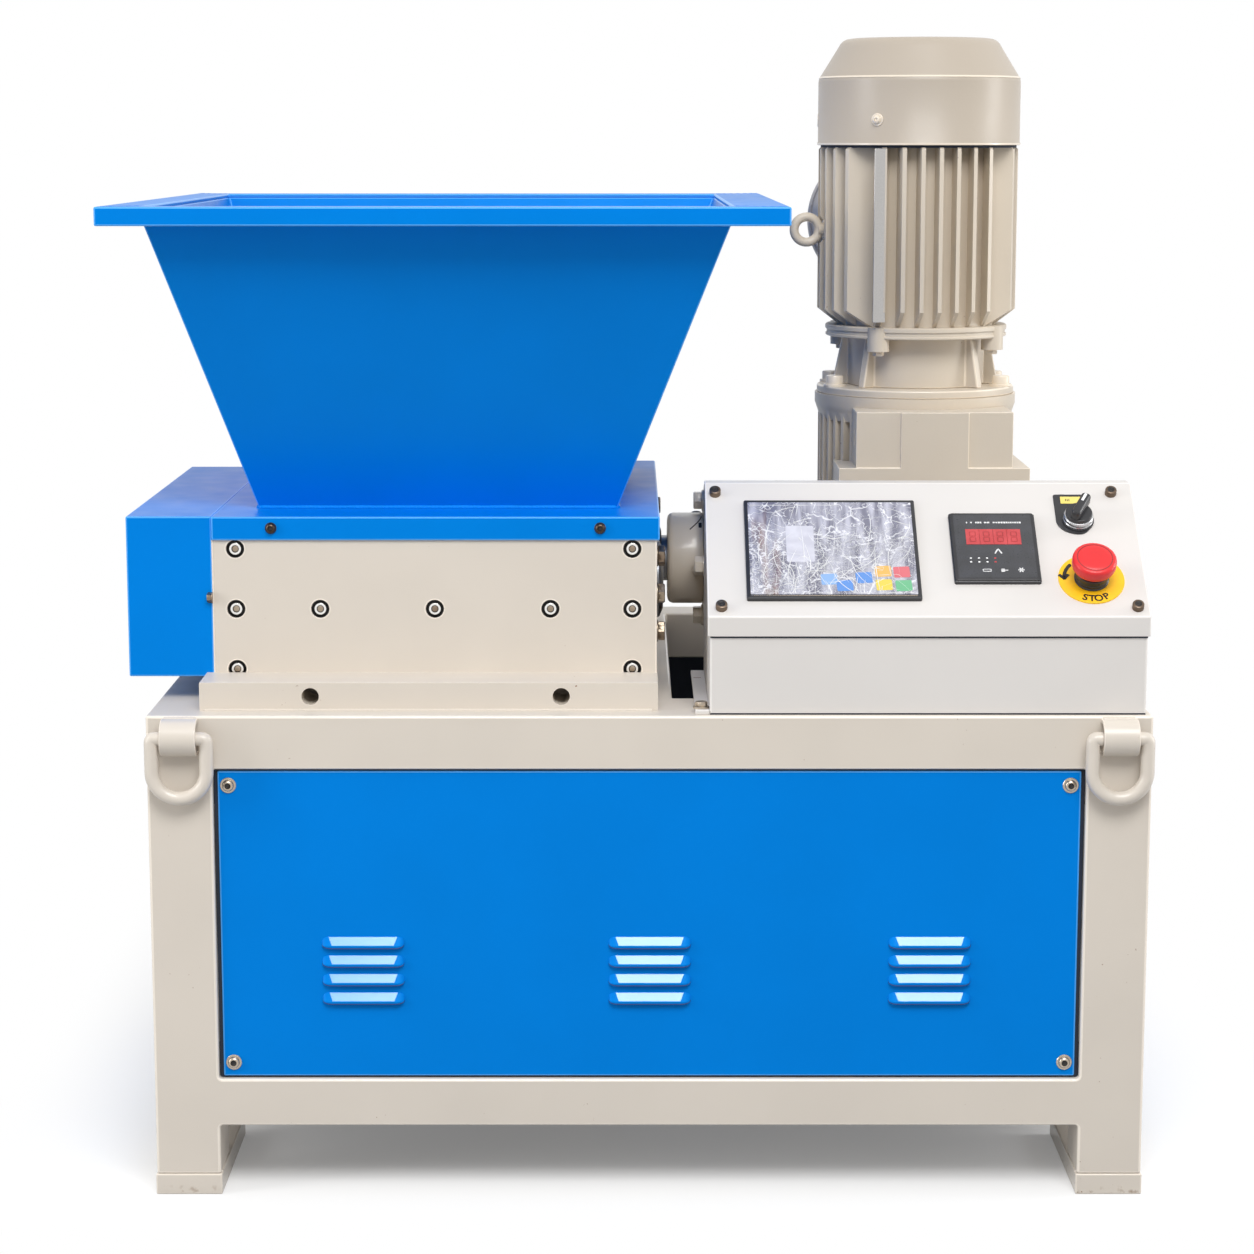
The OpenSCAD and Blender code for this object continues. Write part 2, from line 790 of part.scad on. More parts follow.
// One cutter: a disc with hooks whose steep faces lead.
// The land, the back and the heel are angles from the steep face.
module cutter(x0, turn) {
    step = 360 / hooks;
    root = disc_r - 4;
    rake = 2;
    land = 8;
    back = 26;
    heel = 30;
    translate([x0, 0, 0]) rotate([turn, 0, 0]) difference() {
        rotate([90, 0, 90]) linear_extrude(disc_t) {
            circle(disc_r, $fn = 96);
            for (i = [0 : hooks - 1]) rotate(i * step) polygon([
                [root, 0], [hook_r, rake], [hook_r * cos(land), hook_r * sin(land)],
                [disc_r * cos(back), disc_r * sin(back)], [root * cos(heel), root * sin(heel)],
                [root / 2, rake]
            ]);
        }
        rotate([-turn, 0, 0]) hex_bar(-1, disc_t + 1, hex_r + hex_gap);
    }
}

// The cutters of one shaft.
module cutters(x0, count, lead) {
    color(steel) for (i = [0 : count - 1])
        cutter(x0 + i * disc_pitch, lead + i * disc_turn);
}

// The rings between the cutters and at both ends of a shaft.
module spacers(x0, count) {
    starts = [for (i = [0 : count]) i == 0 ? cut_x0 + run_gap : x0 + (i - 1) * disc_pitch + disc_t];
    ends = [for (i = [0 : count]) i == count ? cut_x1 - run_gap : x0 + i * disc_pitch];
    color(steel) for (i = [0 : count]) if (ends[i] - starts[i] > 1) difference() {
        bar_x(starts[i], ends[i], 0, 0, spacer_r);
        hex_bar(starts[i] - 1, ends[i] + 1, hex_r + hex_gap);
    }
}

module at_drive() {
    translate([0, shaft_y, shaft_z]) children();
}

module at_driven() {
    translate([0, -shaft_y, shaft_z]) children();
}

module drive_shaft() {
    at_drive() shaft(coupling_x1 - coupling_l / 4);
}

module drive_cutters() {
    at_drive() cutters(disc_x0, discs, 0);
}

module drive_spacers() {
    at_drive() spacers(disc_x0, discs);
}

module coupling() {
    at_drive() color(beige) difference() {
        bar_x(coupling_x0, coupling_x1, 0, 0, coupling_r);
        bar_x(coupling_x0 - 1, coupling_x1 - coupling_l / 4, 0, 0, shaft_d / 2 + hex_gap);
    }
}

module driven_shaft() {
    at_driven() shaft(chamber_x1 + cap_t + seat_gap);
}

module driven_cutters() {
    at_driven() mirror([0, 1, 0]) cutters(disc_x0 + disc_pitch / 2, discs - 1, 36);
}

module driven_spacers() {
    at_driven() spacers(disc_x0 + disc_pitch / 2, discs - 1);
}

// Gearbox

module gearbox_output() {
    x0 = coupling_x1 + seat_gap;
    color(beige) {
        bar_x(x0, x0 + output_t, axis_y, shaft_z, output_r);
        bar_x(x0 + output_t, gearbox_x0, axis_y, shaft_z, neck_r);
    }
}

// The round space that the barrel and its flare stand in.
module barrel_room() {
    translate([axis_x, axis_y, 0]) {
        translate([0, 0, barrel_z]) cylinder(h = block_z + 1 - barrel_z, r = barrel_r + seat_gap);
        translate([0, 0, flare_z]) cylinder(h = flare_h + 1, r = ring_flange_r + seat_gap);
    }
}

module gearbox_case() {
    over = gearbox_base_over;
    bx = [gearbox_x - block_w / 2, gearbox_x + block_w / 2];
    by = [gearbox_y0 + block_step, gearbox_y1 - block_step];
    color(beige) {
        slab([gearbox_x0 - over, gearbox_x1 + over], [gearbox_y0, gearbox_y1],
            [table_z, table_z + gearbox_base_h]);
        difference() {
            union() {
                slab([gearbox_x0, gearbox_x1], [gearbox_y0, gearbox_y1],
                    [table_z + gearbox_base_h, gearbox_z]);
                slab(bx, by, [gearbox_z, block_z]);
                slab([gearbox_x - tongue_w / 2, gearbox_x + tongue_w / 2],
                    [gearbox_y0, gearbox_y0 + 2 * block_step], [gearbox_z, block_z]);
            }
            barrel_room();
        }
    }
}

module gearbox_barrel() {
    root = 2;
    color(beige) translate([axis_x, axis_y, 0]) {
        translate([0, 0, barrel_z]) cylinder(h = block_z - barrel_z, r = barrel_r - barrel_rib);
        for (i = [0 : barrel_ribs - 1]) rotate([0, 0, i * 360 / barrel_ribs])
            translate([barrel_r - barrel_rib - root, -fin_t / 2, barrel_z])
                cube([barrel_rib + root, fin_t, block_z - barrel_z]);
        translate([0, 0, flare_z]) cylinder(h = flare_h, r1 = barrel_r - root, r2 = ring_flange_r);
        translate([0, 0, block_z]) cylinder(h = ring_flange_h, r = ring_flange_r);
    }
}

// Motor: the axis is vertical through axis_x, axis_y.

module motor_flange() {
    color(beige) translate([axis_x, axis_y, ring_flange_z])
        cylinder(h = motor_flange_t, r = motor_flange_r);
}

// A bell with eight ribs that are wider at the foot.
module motor_bell() {
    rib_r = (bell_r + shield_r) / 2;
    slope = 5;
    root_r = bell_r - slope;
    color(beige) translate([axis_x, axis_y, motor_flange_z]) {
        cylinder(h = bell_h, r = bell_r);
        for (side = [0, 180], i = [-1 : 1]) rotate([0, 0, side + i * rib_turn])
            translate([0, fin_t, 0]) rotate([90, 0, 0]) linear_extrude(2 * fin_t)
                polygon([[root_r, 0], [rib_r + slope, 0], [rib_r - slope, bell_h], [root_r, bell_h]]);
    }
}

module motor_end_shield() {
    color(beige) translate([axis_x, axis_y, shield_z]) {
        cylinder(h = shield_h, r = shield_r);
        difference() {
            for (i = [0 : 3]) rotate([0, 0, i * 90 + 45 + lug_turn])
                translate([shield_r - lug_r / 2, 0, -shield_h]) cylinder(h = 2 * shield_h, r = lug_r);
            translate([0, 0, -bell_h]) cylinder(h = bell_h, r = bell_r + seat_gap);
        }
    }
}

// Core of the barrel with four groups of upright fins, and bare corners between them.
module finned_core() {
    count = floor(motor_core_r * sin(45) / fin_pitch);
    cylinder(h = motor_h, r = motor_core_r);
    for (side = [0 : 3]) rotate([0, 0, side * 90])
        for (i = [-count : count]) translate([i * fin_pitch - fin_t / 2, 0, 0])
            cube([fin_t, fin_r + fin_t, motor_h]);
}

// Round space the fins fill, with sloping feet and bevelled heads.
module fin_space() {
    slope = (fin_r - motor_core_r - 0.5) / fin_foot_h;
    rotate([0, 0, 45]) rotate_extrude() polygon([
        [0, -1], [motor_core_r + 0.5 - slope, -1], [fin_r, fin_foot_h],
        [fin_r, motor_h - fin_head], [fin_r - fin_head - 1, motor_h + 1], [0, motor_h + 1]
    ]);
}

module motor_barrel() {
    color(beige) translate([axis_x, axis_y, barrel_z0]) rotate([0, 0, fin_turn]) {
        difference() {
            intersection() {
                finned_core();
                fin_space();
            }
            translate([-eye_reach, 0, eye_z]) rotate([90, 0, 0])
                cylinder(h = 2 * fin_t, r = eye_d / 2 + eye_notch_gap, center = true);
        }
        bar_x(-eye_boss_reach, -motor_core_r + 2 * fin_t, 0, eye_z, eye_boss_r);
    }
}

module fan_cowl() {
    color(beige) translate([axis_x, axis_y, cowl_z]) rotate_extrude($fn = 128) polygon([
        [0, 0], [cowl_r, 0], [cowl_r, cowl_h], [cowl_top_r, cowl_h + cowl_cone_h - 3],
        [cowl_top_r - 5, cowl_h + cowl_cone_h], [0, cowl_h + cowl_cone_h]
    ]);
}

module terminal_box() {
    color(beige) translate([axis_x, axis_y, barrel_z0 + terminal_z]) rotate([0, 0, lug_turn])
        rotate([-90, 0, 0]) difference() {
            cylinder(h = terminal_reach, r = terminal_r);
            rotate([90, 0, 0]) cylinder(h = 4 * terminal_r, r = fin_r + seat_gap, center = true);
        }
}

module eye_bolt() {
    rod = (eye_d - eye_hole_d) / 4;
    color(beige) translate([axis_x, axis_y, barrel_z0 + eye_z]) rotate([0, 0, fin_turn]) {
        translate([-eye_reach, 0, 0]) rotate([90, 0, 0])
            rotate_extrude() translate([eye_d / 2 - rod, 0]) circle(rod);
        bar_x(-eye_reach + eye_d / 2 - rod, -eye_boss_reach, 0, 0, rod * 1.6);
    }
}

// Control box

module control_body() {
    color(cream) along_x(control_x0 + lid_over, control_x1 - lid_over) polygon([
        [body_y, table_z], [body_y, lid_in_z], [ridge_in_y, ridge_z - lid_t],
        [lid_end_y, ridge_z - lid_t], [back_y, table_z + control_back_h], [back_y, table_z]
    ]);
}

module control_lid() {
    color(cream) along_x(control_x0, control_x1) polygon([
        [lid_y, lid_z - lid_lip_h], [lid_y, lid_z], [ridge_y, ridge_z], [lid_end_y, ridge_z],
        [lid_end_y, ridge_z - lid_t], [ridge_in_y, ridge_z - lid_t], [body_y, lid_in_z],
        [body_y, lid_z - lid_lip_h]
    ]);
}

module control_bracket() {
    x1 = control_x0 + lid_over;
    color(cream) slab([x1 - bracket_w, x1], [body_y, body_y + bracket_l], [table_z, table_z + bracket_t]);
}

module touch_screen() {
    color(black) on_lid(screen_x, screen_v) cube([screen_w, screen_h, screen_t]);
}

module panel_meter() {
    color(black) on_lid(meter_x, meter_v) cube([meter_w, meter_h, meter_t]);
}

module selector_base() {
    half = selector_plate_w / 2;
    color(black) on_lid(selector_x, selector_v) difference() {
        union() {
            translate([-half, 0, 0]) cube([selector_plate_w, selector_plate_up, selector_plate_t]);
            cylinder(h = selector_plate_t, r = half);
            cylinder(h = selector_plate_t + selector_ring_h, r = selector_r);
        }
        translate([0, 0, selector_plate_t])
            cylinder(h = selector_ring_h + 1, r = spindle_r + bearing_gap);
    }
}

module selector_knob() {
    knob_r = selector_r - 1.5;
    tail = selector_r - 3;
    color(black) on_lid(selector_x, selector_v) rotate([0, 0, -selector_turn]) {
        translate([0, 0, knob_z]) cylinder(h = knob_t, r = knob_r);
        translate([-handle_w / 2, -tail, knob_z]) cube([handle_w, handle_l + tail, knob_t + handle_h]);
        translate([0, 0, selector_plate_t + seat_gap]) cylinder(h = selector_ring_h, r = spindle_r);
    }
}

module stop_label() {
    color("#f2c414") on_lid(stop_x, stop_v) cylinder(h = stop_label_t, r = stop_label_r);
}

module stop_collar() {
    color(black) on_lid(stop_x, stop_v) translate([0, 0, stop_label_t]) difference() {
        cylinder(h = collar_h, r = collar_r);
        translate([0, 0, -1]) cylinder(h = collar_h + 2, r = spindle_r + bearing_gap);
    }
}

module stop_button() {
    color("#e02020") on_lid(stop_x, stop_v) {
        translate([0, 0, stop_label_t + button_travel + seat_gap])
            cylinder(h = button_z - stop_label_t - button_travel, r = spindle_r);
        translate([0, 0, button_z]) rotate_extrude() polygon([
            [0, 0], [button_r - 3, 0], [button_r, 5], [button_r, button_h - 4],
            [button_r - 3, button_h - 1], [button_r - 7, button_h], [0, button_h]
        ]);
    }
}

posts();
top_rails();
bottom_rails();
feet();
table_top();
panel_tabs();
front_panel();
rear_panel();
left_panel();
right_panel();
ring_straps();
ring_front_left();
ring_front_right();
ring_rear_left();
ring_rear_right();
chamber_front_plate();
chamber_rear_plate();
left_bearing_plate();
right_bearing_plate();
bearing_caps();
base_bars();
combs();
hopper_cover();
hopper_walls();
hopper_rim();
gear_cover();
drive_shaft();
drive_cutters();
drive_spacers();
coupling();
driven_shaft();
driven_cutters();
driven_spacers();
gearbox_output();
gearbox_case();
gearbox_barrel();
motor_flange();
motor_bell();
motor_end_shield();
motor_barrel();
fan_cowl();
terminal_box();
eye_bolt();
control_body();
control_lid();
control_bracket();
touch_screen();
panel_meter();
selector_base();
selector_knob();
stop_label();
stop_collar();
stop_button();
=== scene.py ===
import math

import bmesh
import bpy
import numpy as np
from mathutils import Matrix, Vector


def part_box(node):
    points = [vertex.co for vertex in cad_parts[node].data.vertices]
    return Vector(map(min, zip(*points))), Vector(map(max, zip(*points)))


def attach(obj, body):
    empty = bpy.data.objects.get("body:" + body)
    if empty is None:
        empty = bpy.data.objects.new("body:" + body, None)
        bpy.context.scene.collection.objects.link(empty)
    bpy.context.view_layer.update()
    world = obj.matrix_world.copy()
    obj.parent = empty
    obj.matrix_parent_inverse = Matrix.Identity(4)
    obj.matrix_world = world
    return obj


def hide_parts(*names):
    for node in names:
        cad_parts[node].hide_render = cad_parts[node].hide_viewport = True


bl_info = {
    "name": "Double shaft shredder",
    "version": (1, 0, 0),
    "blender": (4, 5, 0),
    "location": "3D View > Sidebar > Shredder",
    "description": "Dresses the CAD model of a double shaft shredder with its finishes, edges and fittings",
    "category": "Add Mesh",
}

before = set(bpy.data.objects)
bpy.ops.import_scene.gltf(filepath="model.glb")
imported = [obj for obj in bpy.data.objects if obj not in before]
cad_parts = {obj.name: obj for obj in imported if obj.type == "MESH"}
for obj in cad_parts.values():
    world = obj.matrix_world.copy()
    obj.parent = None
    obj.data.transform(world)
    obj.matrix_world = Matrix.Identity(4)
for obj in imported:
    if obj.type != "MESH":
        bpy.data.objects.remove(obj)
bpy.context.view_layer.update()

# Lengths are in millimetres and angles in degrees, but for what Blender itself takes.
MM = 0.001
POST = 60.0  # width of the frame's square posts
SHAFT_BORE = 23.6  # radius of the bores that the shafts pass through
LID_SLOPE = 38.607  # rise of the control box's lid towards the back
LID_LIP = 18.5  # height of the lid's front lip
MOTOR_TURN = 8  # turn of the motor about its upright axis
TERMINAL_TURN = 104  # turn from +X to the way the terminal box faces
ROUND_ABOVE = 29  # an edge between faces at a greater angle than this is rounded
SHARP_ABOVE = 20  # or, where nothing is rounded, an edge at a greater angle than this stays crisp
QUARTERS = (45, 135, 225, 315)  # turns of four screws on a circle, half way between its axes
LEFT, RIGHT = np.array([-1.0, 0, 0]), np.array([1.0, 0, 0])
FRONT, BACK = np.array([0, -1.0, 0]), np.array([0, 1.0, 0])
DOWN, UP = np.array([0, 0, -1.0]), np.array([0, 0, 1.0])


# Shapes. A skin is a pair: an array of points in millimetres, and a list of faces.


def ray(turn, along=RIGHT, over=BACK):
    """Unit vector at an angle of turn degrees from along towards over: cos a * along + sin a * over."""
    angle = math.radians(turn)
    return math.cos(angle) * along + math.sin(angle) * over


def span(node):
    """Lowest and highest corner of a CAD node, in millimetres."""
    low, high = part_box(node)
    return np.array(low) / MM, np.array(high) / MM


def skin(rings, closed=False):
    """Quads between rings of equally many points. Point j of ring i joins point j of ring i + 1,
    and a flat face closes each end, or the last ring joins the first."""
    rings = np.asarray(rings, float)
    count, size = rings.shape[:2]
    index = np.arange(count * size).reshape(count, size)
    near = index if closed else index[:-1]
    far = np.roll(index, -1, 0)[: len(near)]
    quads = np.stack([near, np.roll(near, -1, 1), np.roll(far, -1, 1), far], -1)
    faces = quads.reshape(-1, 4).tolist()
    if not closed:
        faces += [index[0][::-1].tolist(), index[-1].tolist()]
    return rings.reshape(-1, 3), faces


def turned(profile, sides=48):
    """A profile of (radius, height, flats) turned round Z: each point is radius * k * (cos a, sin a),
    where k goes from 1, a circle, to 1 / cos(a mod 60 - 30 degrees), a hexagon, as flats goes
    from 0 to 1."""
    rows = np.array([(tuple(row) + (0,))[:3] for row in profile], float)
    angle = np.arange(sides) * 2 * math.pi / sides
    six = 1 / np.cos(angle % (math.pi / 3) - math.pi / 6)
    radius = rows[:, :1] * (1 + rows[:, 2:] * (six - 1))
    height = np.repeat(rows[:, 1:2], sides, 1)
    return skin(np.stack([radius * np.cos(angle), radius * np.sin(angle), height], -1))


def rounded(width, height, radius, inset=0.0, corner=5):
    """Points of a rounded rectangle: four quarter circles about its corner centres."""
    radius = max(radius - inset, 0.01)
    angle = np.radians(np.arange(4)[:, None] * 90 + np.linspace(0, 90, corner + 1)).ravel()
    side = np.array([width, height]) / 2 - inset - radius
    centre = np.repeat([[1, 1], [-1, 1], [-1, -1], [1, -1]], corner + 1, 0) * side
    return centre + radius * np.stack([np.cos(angle), np.sin(angle)], -1)


def pad(width, height, radius, steps):
    """A rounded rectangle carried up Z through steps of (inset, z)."""
    outlines = [np.insert(rounded(width, height, radius, inset), 2, z, 1) for inset, z in steps]
    return skin(outlines)


def round_top(low, high, edge, turns=4, start=0.0):
    """Steps of (inset, z) for a side that ends in a quarter circle of radius edge."""
    angle = np.linspace(0, math.pi / 2, turns)
    top = zip(start + edge * (1 - np.cos(angle)), high - edge + edge * np.sin(angle))
    return [(start, low)] + list(top)


def knob_profile(radius, low, high, edge, turns=4):
    """A turned profile with a rounded top edge, closed at the axis."""
    steps = round_top(low, high, edge, turns)
    return [(0, low)] + [(radius - inset, z) for inset, z in steps] + [(0, high)]


def rod(path, radius, sides=12, closed=False, across=UP):
    """A round section carried along a path. Each ring lies in the plane of two unit vectors at right
    angles to the path: s = tangent x across, and s x tangent. The radius may be one for each point."""
    path = np.asarray(path, float)
    if closed:
        tangent = np.roll(path, -1, 0) - np.roll(path, 1, 0)
    else:
        tangent = np.gradient(path, axis=0)
    tangent /= np.linalg.norm(tangent, axis=1, keepdims=True)
    side = np.cross(tangent, across)
    side /= np.linalg.norm(side, axis=1, keepdims=True)
    other = np.cross(side, tangent)
    angle = np.arange(sides) * 2 * math.pi / sides
    ring = np.cos(angle)[None, :, None] * side[:, None] + np.sin(angle)[None, :, None] * other[:, None]
    size = np.broadcast_to(np.asarray(radius, float), len(path))[:, None, None]
    return skin(path[:, None] + size * ring, closed)


def arc(centre, radius, start, end, count, along=RIGHT, over=UP):
    """Points on an arc: centre + radius * (cos a * along + sin a * over), a in degrees."""
    angle = np.radians(np.linspace(start, end, count))[:, None]
    return np.asarray(centre) + radius * (np.cos(angle) * along + np.sin(angle) * over)


def weld_bead(start, end, radius, ripple=4.0):
    """A weld along a straight line: a rod whose radius swells a little every few millimetres and
    closes in a half round at both ends."""
    start, end = np.asarray(start, float), np.asarray(end, float)
    length = np.linalg.norm(end - start)
    count = max(8, int(length / 1.3))
    t = np.linspace(0, 1, count)
    swell = 1 + 0.10 * np.sin(t * length * 2 * math.pi / ripple) + 0.05 * np.sin(t * length / 7.3 + 1)
    tip = np.clip(np.minimum(t, 1 - t) * length / radius, 0.02, 1)
    across = BACK if abs((end - start)[2]) > 0.5 * length else UP
    size = radius * swell * np.sqrt(1 - (1 - tip) ** 2)
    return rod(start + t[:, None] * (end - start), size, 8, across=across)


def place(shape, at, out=UP, right=RIGHT, spin=0.0):
    """Move a skin to a point, with its Z along out and its X along right, turned by spin about Z."""
    points, faces = shape
    out = np.asarray(out, float) / np.linalg.norm(out)
    right = np.asarray(right, float)
    if abs(right @ out) > 0.95:
        right = BACK
    right = right - out * (right @ out)
    right /= np.linalg.norm(right)
    along = ray(spin, right, np.cross(out, right))
    return points @ np.array([along, np.cross(out, along), out]) + np.asarray(at, float), faces


def finish(name):
    """The material of a finish."""
    return bpy.data.materials[name]


def piece(name, skins, finishes, body, replaces=(), smooth=32):
    """One mesh object from skins, or (skin, finish number) pairs: doubles merged, faces turned out."""
    skins = [item if isinstance(item[1], int) else (item, 0) for item in skins]
    starts = np.cumsum([0] + [len(shape[0]) for shape, _ in skins])
    points = np.concatenate([shape[0] for shape, _ in skins]) * MM
    faces, marks = [], []
    for (shape, mark), start in zip(skins, starts):
        faces += [[start + i for i in face] for face in shape[1]]
        marks += [mark] * len(shape[1])
    mesh = bpy.data.meshes.new(name)
    mesh.from_pydata(points.tolist(), [], faces)
    mesh.polygons.foreach_set("material_index", marks)
    for item in finishes:
        mesh.materials.append(finish(item))
    tidy(mesh, 1e-7)
    shade(mesh, smooth)
    return dress(name, mesh, body, replaces)


def tidy(mesh, gap, flat=None):
    """Merge a mesh's doubles, join its flat faces where asked, and turn all faces out."""
    work = bmesh.new()
    work.from_mesh(mesh)
    bmesh.ops.remove_doubles(work, verts=work.verts, dist=gap)
    bmesh.ops.dissolve_degenerate(work, edges=work.edges, dist=gap)
    if flat is not None:
        bmesh.ops.dissolve_limit(
            work, angle_limit=math.radians(flat), verts=work.verts, edges=work.edges
        )
    bmesh.ops.recalc_face_normals(work, faces=work.faces)
    work.to_mesh(mesh)
    work.free()


def shade(mesh, angle):
    """Smooth shading with sharp edges above an angle in degrees."""
    mesh.shade_smooth()
    mesh.set_sharp_from_angle(angle=math.radians(angle))


def dress(name, mesh, body, replaces):
    """Link a mesh, let it ride on its CAD body and stand for its CAD nodes."""
    thing = bpy.data.objects.new(name, mesh)
    bpy.context.scene.collection.objects.link(thing)
    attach(thing, body)
    if replaces:
        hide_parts(*replaces)
    return thing


def combined(mesh, other, operation):
    """The exact union or difference of two closed meshes."""
    pair = [bpy.data.objects.new("work", item) for item in (mesh, other)]
    for item in pair:
        bpy.context.scene.collection.objects.link(item)
    boolean = pair[0].modifiers.new("combine", "BOOLEAN")
    boolean.operation, boolean.solver, boolean.object = operation, "EXACT", pair[1]
    graph = bpy.context.evaluated_depsgraph_get()
    result = bpy.data.meshes.new_from_object(pair[0].evaluated_get(graph))
    for item in pair:
        bpy.data.objects.remove(item)
    return result


def loose(shapes):
    """A plain mesh from skins, for cutting."""
    mesh = bpy.data.meshes.new("cutter")
    starts = np.cumsum([0] + [len(points) for points, _ in shapes])
    faces = [[start + i for i in face] for (_, group), start in zip(shapes, starts) for face in group]
    mesh.from_pydata((np.concatenate([points for points, _ in shapes]) * MM).tolist(), [], faces)
    tidy(mesh, 1e-7)
    return mesh


def eased(name, nodes, edge, surface, body="frame", holes=(), segments=3):
    """The solids of CAD nodes as one welded skin: a copy of their meshes with doubles merged, joined
    by an exact union and drilled by the given skins. A bevel rounds every edge above ROUND_ABOVE, and
    the rounded edges take the lighter finish named for edges, a painted highlight, where there is one.
    With no edge width, edges above SHARP_ABOVE stay crisp. Weighted normals keep the flat faces flat."""
    nodes = [nodes] if isinstance(nodes, str) else nodes
    mesh = None
    for node in nodes:
        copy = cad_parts[node].data.copy()
        tidy(copy, 1e-5, 0.5)
        mesh = copy if mesh is None else combined(mesh, copy, "UNION")
    if holes:
        mesh = combined(mesh, loose(holes), "DIFFERENCE")
    tidy(mesh, 1e-5, 0.5)
    mesh.materials.clear()
    mesh.materials.append(finish(surface))
    mesh.polygons.foreach_set("material_index", [0] * len(mesh.polygons))
    mesh.shade_smooth()
    thing = dress(name, mesh, body, nodes)
    if edge:
        bevel = thing.modifiers.new("edge", "BEVEL")
        bevel.width, bevel.segments = edge * MM, segments
        bevel.limit_method, bevel.angle_limit = "ANGLE", math.radians(ROUND_ABOVE)
        bevel.miter_outer = "MITER_ARC"
        if surface + " edge" in bpy.data.materials:
            mesh.materials.append(finish(surface + " edge"))
            bevel.material = 1
    else:
        mesh.set_sharp_from_angle(angle=math.radians(SHARP_ABOVE))
    weigh = thing.modifiers.new("normals", "WEIGHTED_NORMAL")
    weigh.keep_sharp, weigh.weight = True, 100
    return thing


# Fittings, each with its seat at the origin and its head towards +Z.


def button_screw(head=5.4, washer=7.3, key=2.1):
    """A washer with a domed head, and a six sided socket in painted shade that narrows to its floor."""
    body = turned([
        (0, 0), (washer, 0), (washer, 0.9), (washer - 0.4, 1.3), (head, 1.3), (head, 1.9),
        (head * 0.93, 2.9), (head * 0.78, 3.8), (head * 0.6, 4.2), (key * 1.35, 4.3),
        (key * 1.2, 3.2), (0, 3.2),
    ], 36)
    socket = turned([
        (0, 3.1), (key * 1.25, 3.1), (key * 1.25, 3.9), (key, 4.1, 1), (key * 0.6, 3.3, 1), (0, 3.3),
    ], 36)
    return [(body, 0), (socket, 1)]


def socket_screw(head=5.0, height=5.0, key=2.5, edge=0.6, floor=0.6, bottom=0):
    """A cylinder head with a rounded rim, and a six sided socket in painted shade whose floor, a share of
    the key wide and of the finish numbered bottom, catches some light."""
    body = turned([
        (0, 0), (head, 0), (head, height - edge), (head - edge * 0.35, height - edge * 0.3),
        (head - edge, height), (key * 1.25, height), (key * 1.2, height - 0.5), (0, height - 0.5),
    ], 36)
    socket = turned([
        (0, height - 0.6), (key * 1.3, height - 0.6), (key * 1.3, height - 0.15),
        (key * 1.1, height - 0.05, 0.6), (key * (floor + 0.1), height - 0.5, 1), (0, height - 0.5),
    ], 36)
    disc = turned([
        (0, height - 0.5), (key * floor, height - 0.5), (key * (floor - 0.2), height - 0.3),
        (0, height - 0.25)], 24)
    return [(body, 0), (socket, 1), (disc, bottom)]


def set_at(parts, *where):
    """Place every part of a fitting."""
    return [(place(shape, *where), mark) for shape, mark in parts]


def hex_bolt(flat=8.5, height=7.0, washer=11.0, plate=2.2):
    """A washer with a six sided head whose top is turned off to a circle."""
    return turned([
        (0, 0), (washer, 0), (washer, plate - 0.4), (washer - 0.4, plate), (flat * 0.98, plate),
        (flat, plate + 0.4, 1), (flat, plate + height - 0.9, 1), (flat * 0.97, plate + height, 0),
        (0, plate + height),
    ], 36)


def hoop(profile, sides=64):
    """A closed profile of (radius, height) turned round Z into a ring with a bore."""
    radius, height = np.array(profile, float).T
    angle = np.arange(sides)[:, None] * 2 * math.pi / sides
    height = np.broadcast_to(height, (sides, len(radius)))
    return skin(np.stack([radius * np.cos(angle), radius * np.sin(angle), height], -1), True)


# Materials


def linear(colour):
    """Linear RGBA of an sRGB hex colour."""
    parts = np.array([int(colour[i : i + 2], 16) for i in (1, 3, 5)]) / 255
    parts = np.where(parts <= 0.04045, parts / 12.92, ((parts + 0.055) / 1.055) ** 2.4)
    return (*parts.tolist(), 1.0)


def share_of(colour, share):
    """A colour with its linear channels times share, none above 1."""
    return (*(min(channel * share, 1) for channel in colour[:3]), 1.0)


def join(tree, node, inputs):
    """Set the inputs of a node, or link them to the outputs of others."""
    for key, value in inputs.items():
        if isinstance(value, bpy.types.NodeSocket):
            tree.links.new(value, node.inputs[key])
        else:
            node.inputs[key].default_value = value


def add(tree, kind, inputs, output=0, **settings):
    """Add a shader node with its settings and links, and return one of its outputs."""
    node = tree.nodes.new("ShaderNode" + kind)
    for key, value in settings.items():
        setattr(node, key, value)
    join(tree, node, inputs)
    return node.outputs[output]


def new_material(name, **sockets):
    """A material whose shader has these sockets set, its node tree and its Object coordinates."""
    material = bpy.data.materials.new(name)
    material.use_nodes = True
    tree = material.node_tree
    shader = tree.nodes["Principled BSDF"]
    join(tree, shader, {key.replace("_", " "): value for key, value in sockets.items()})
    return tree, shader, add(tree, "TexCoord", {}, "Object")


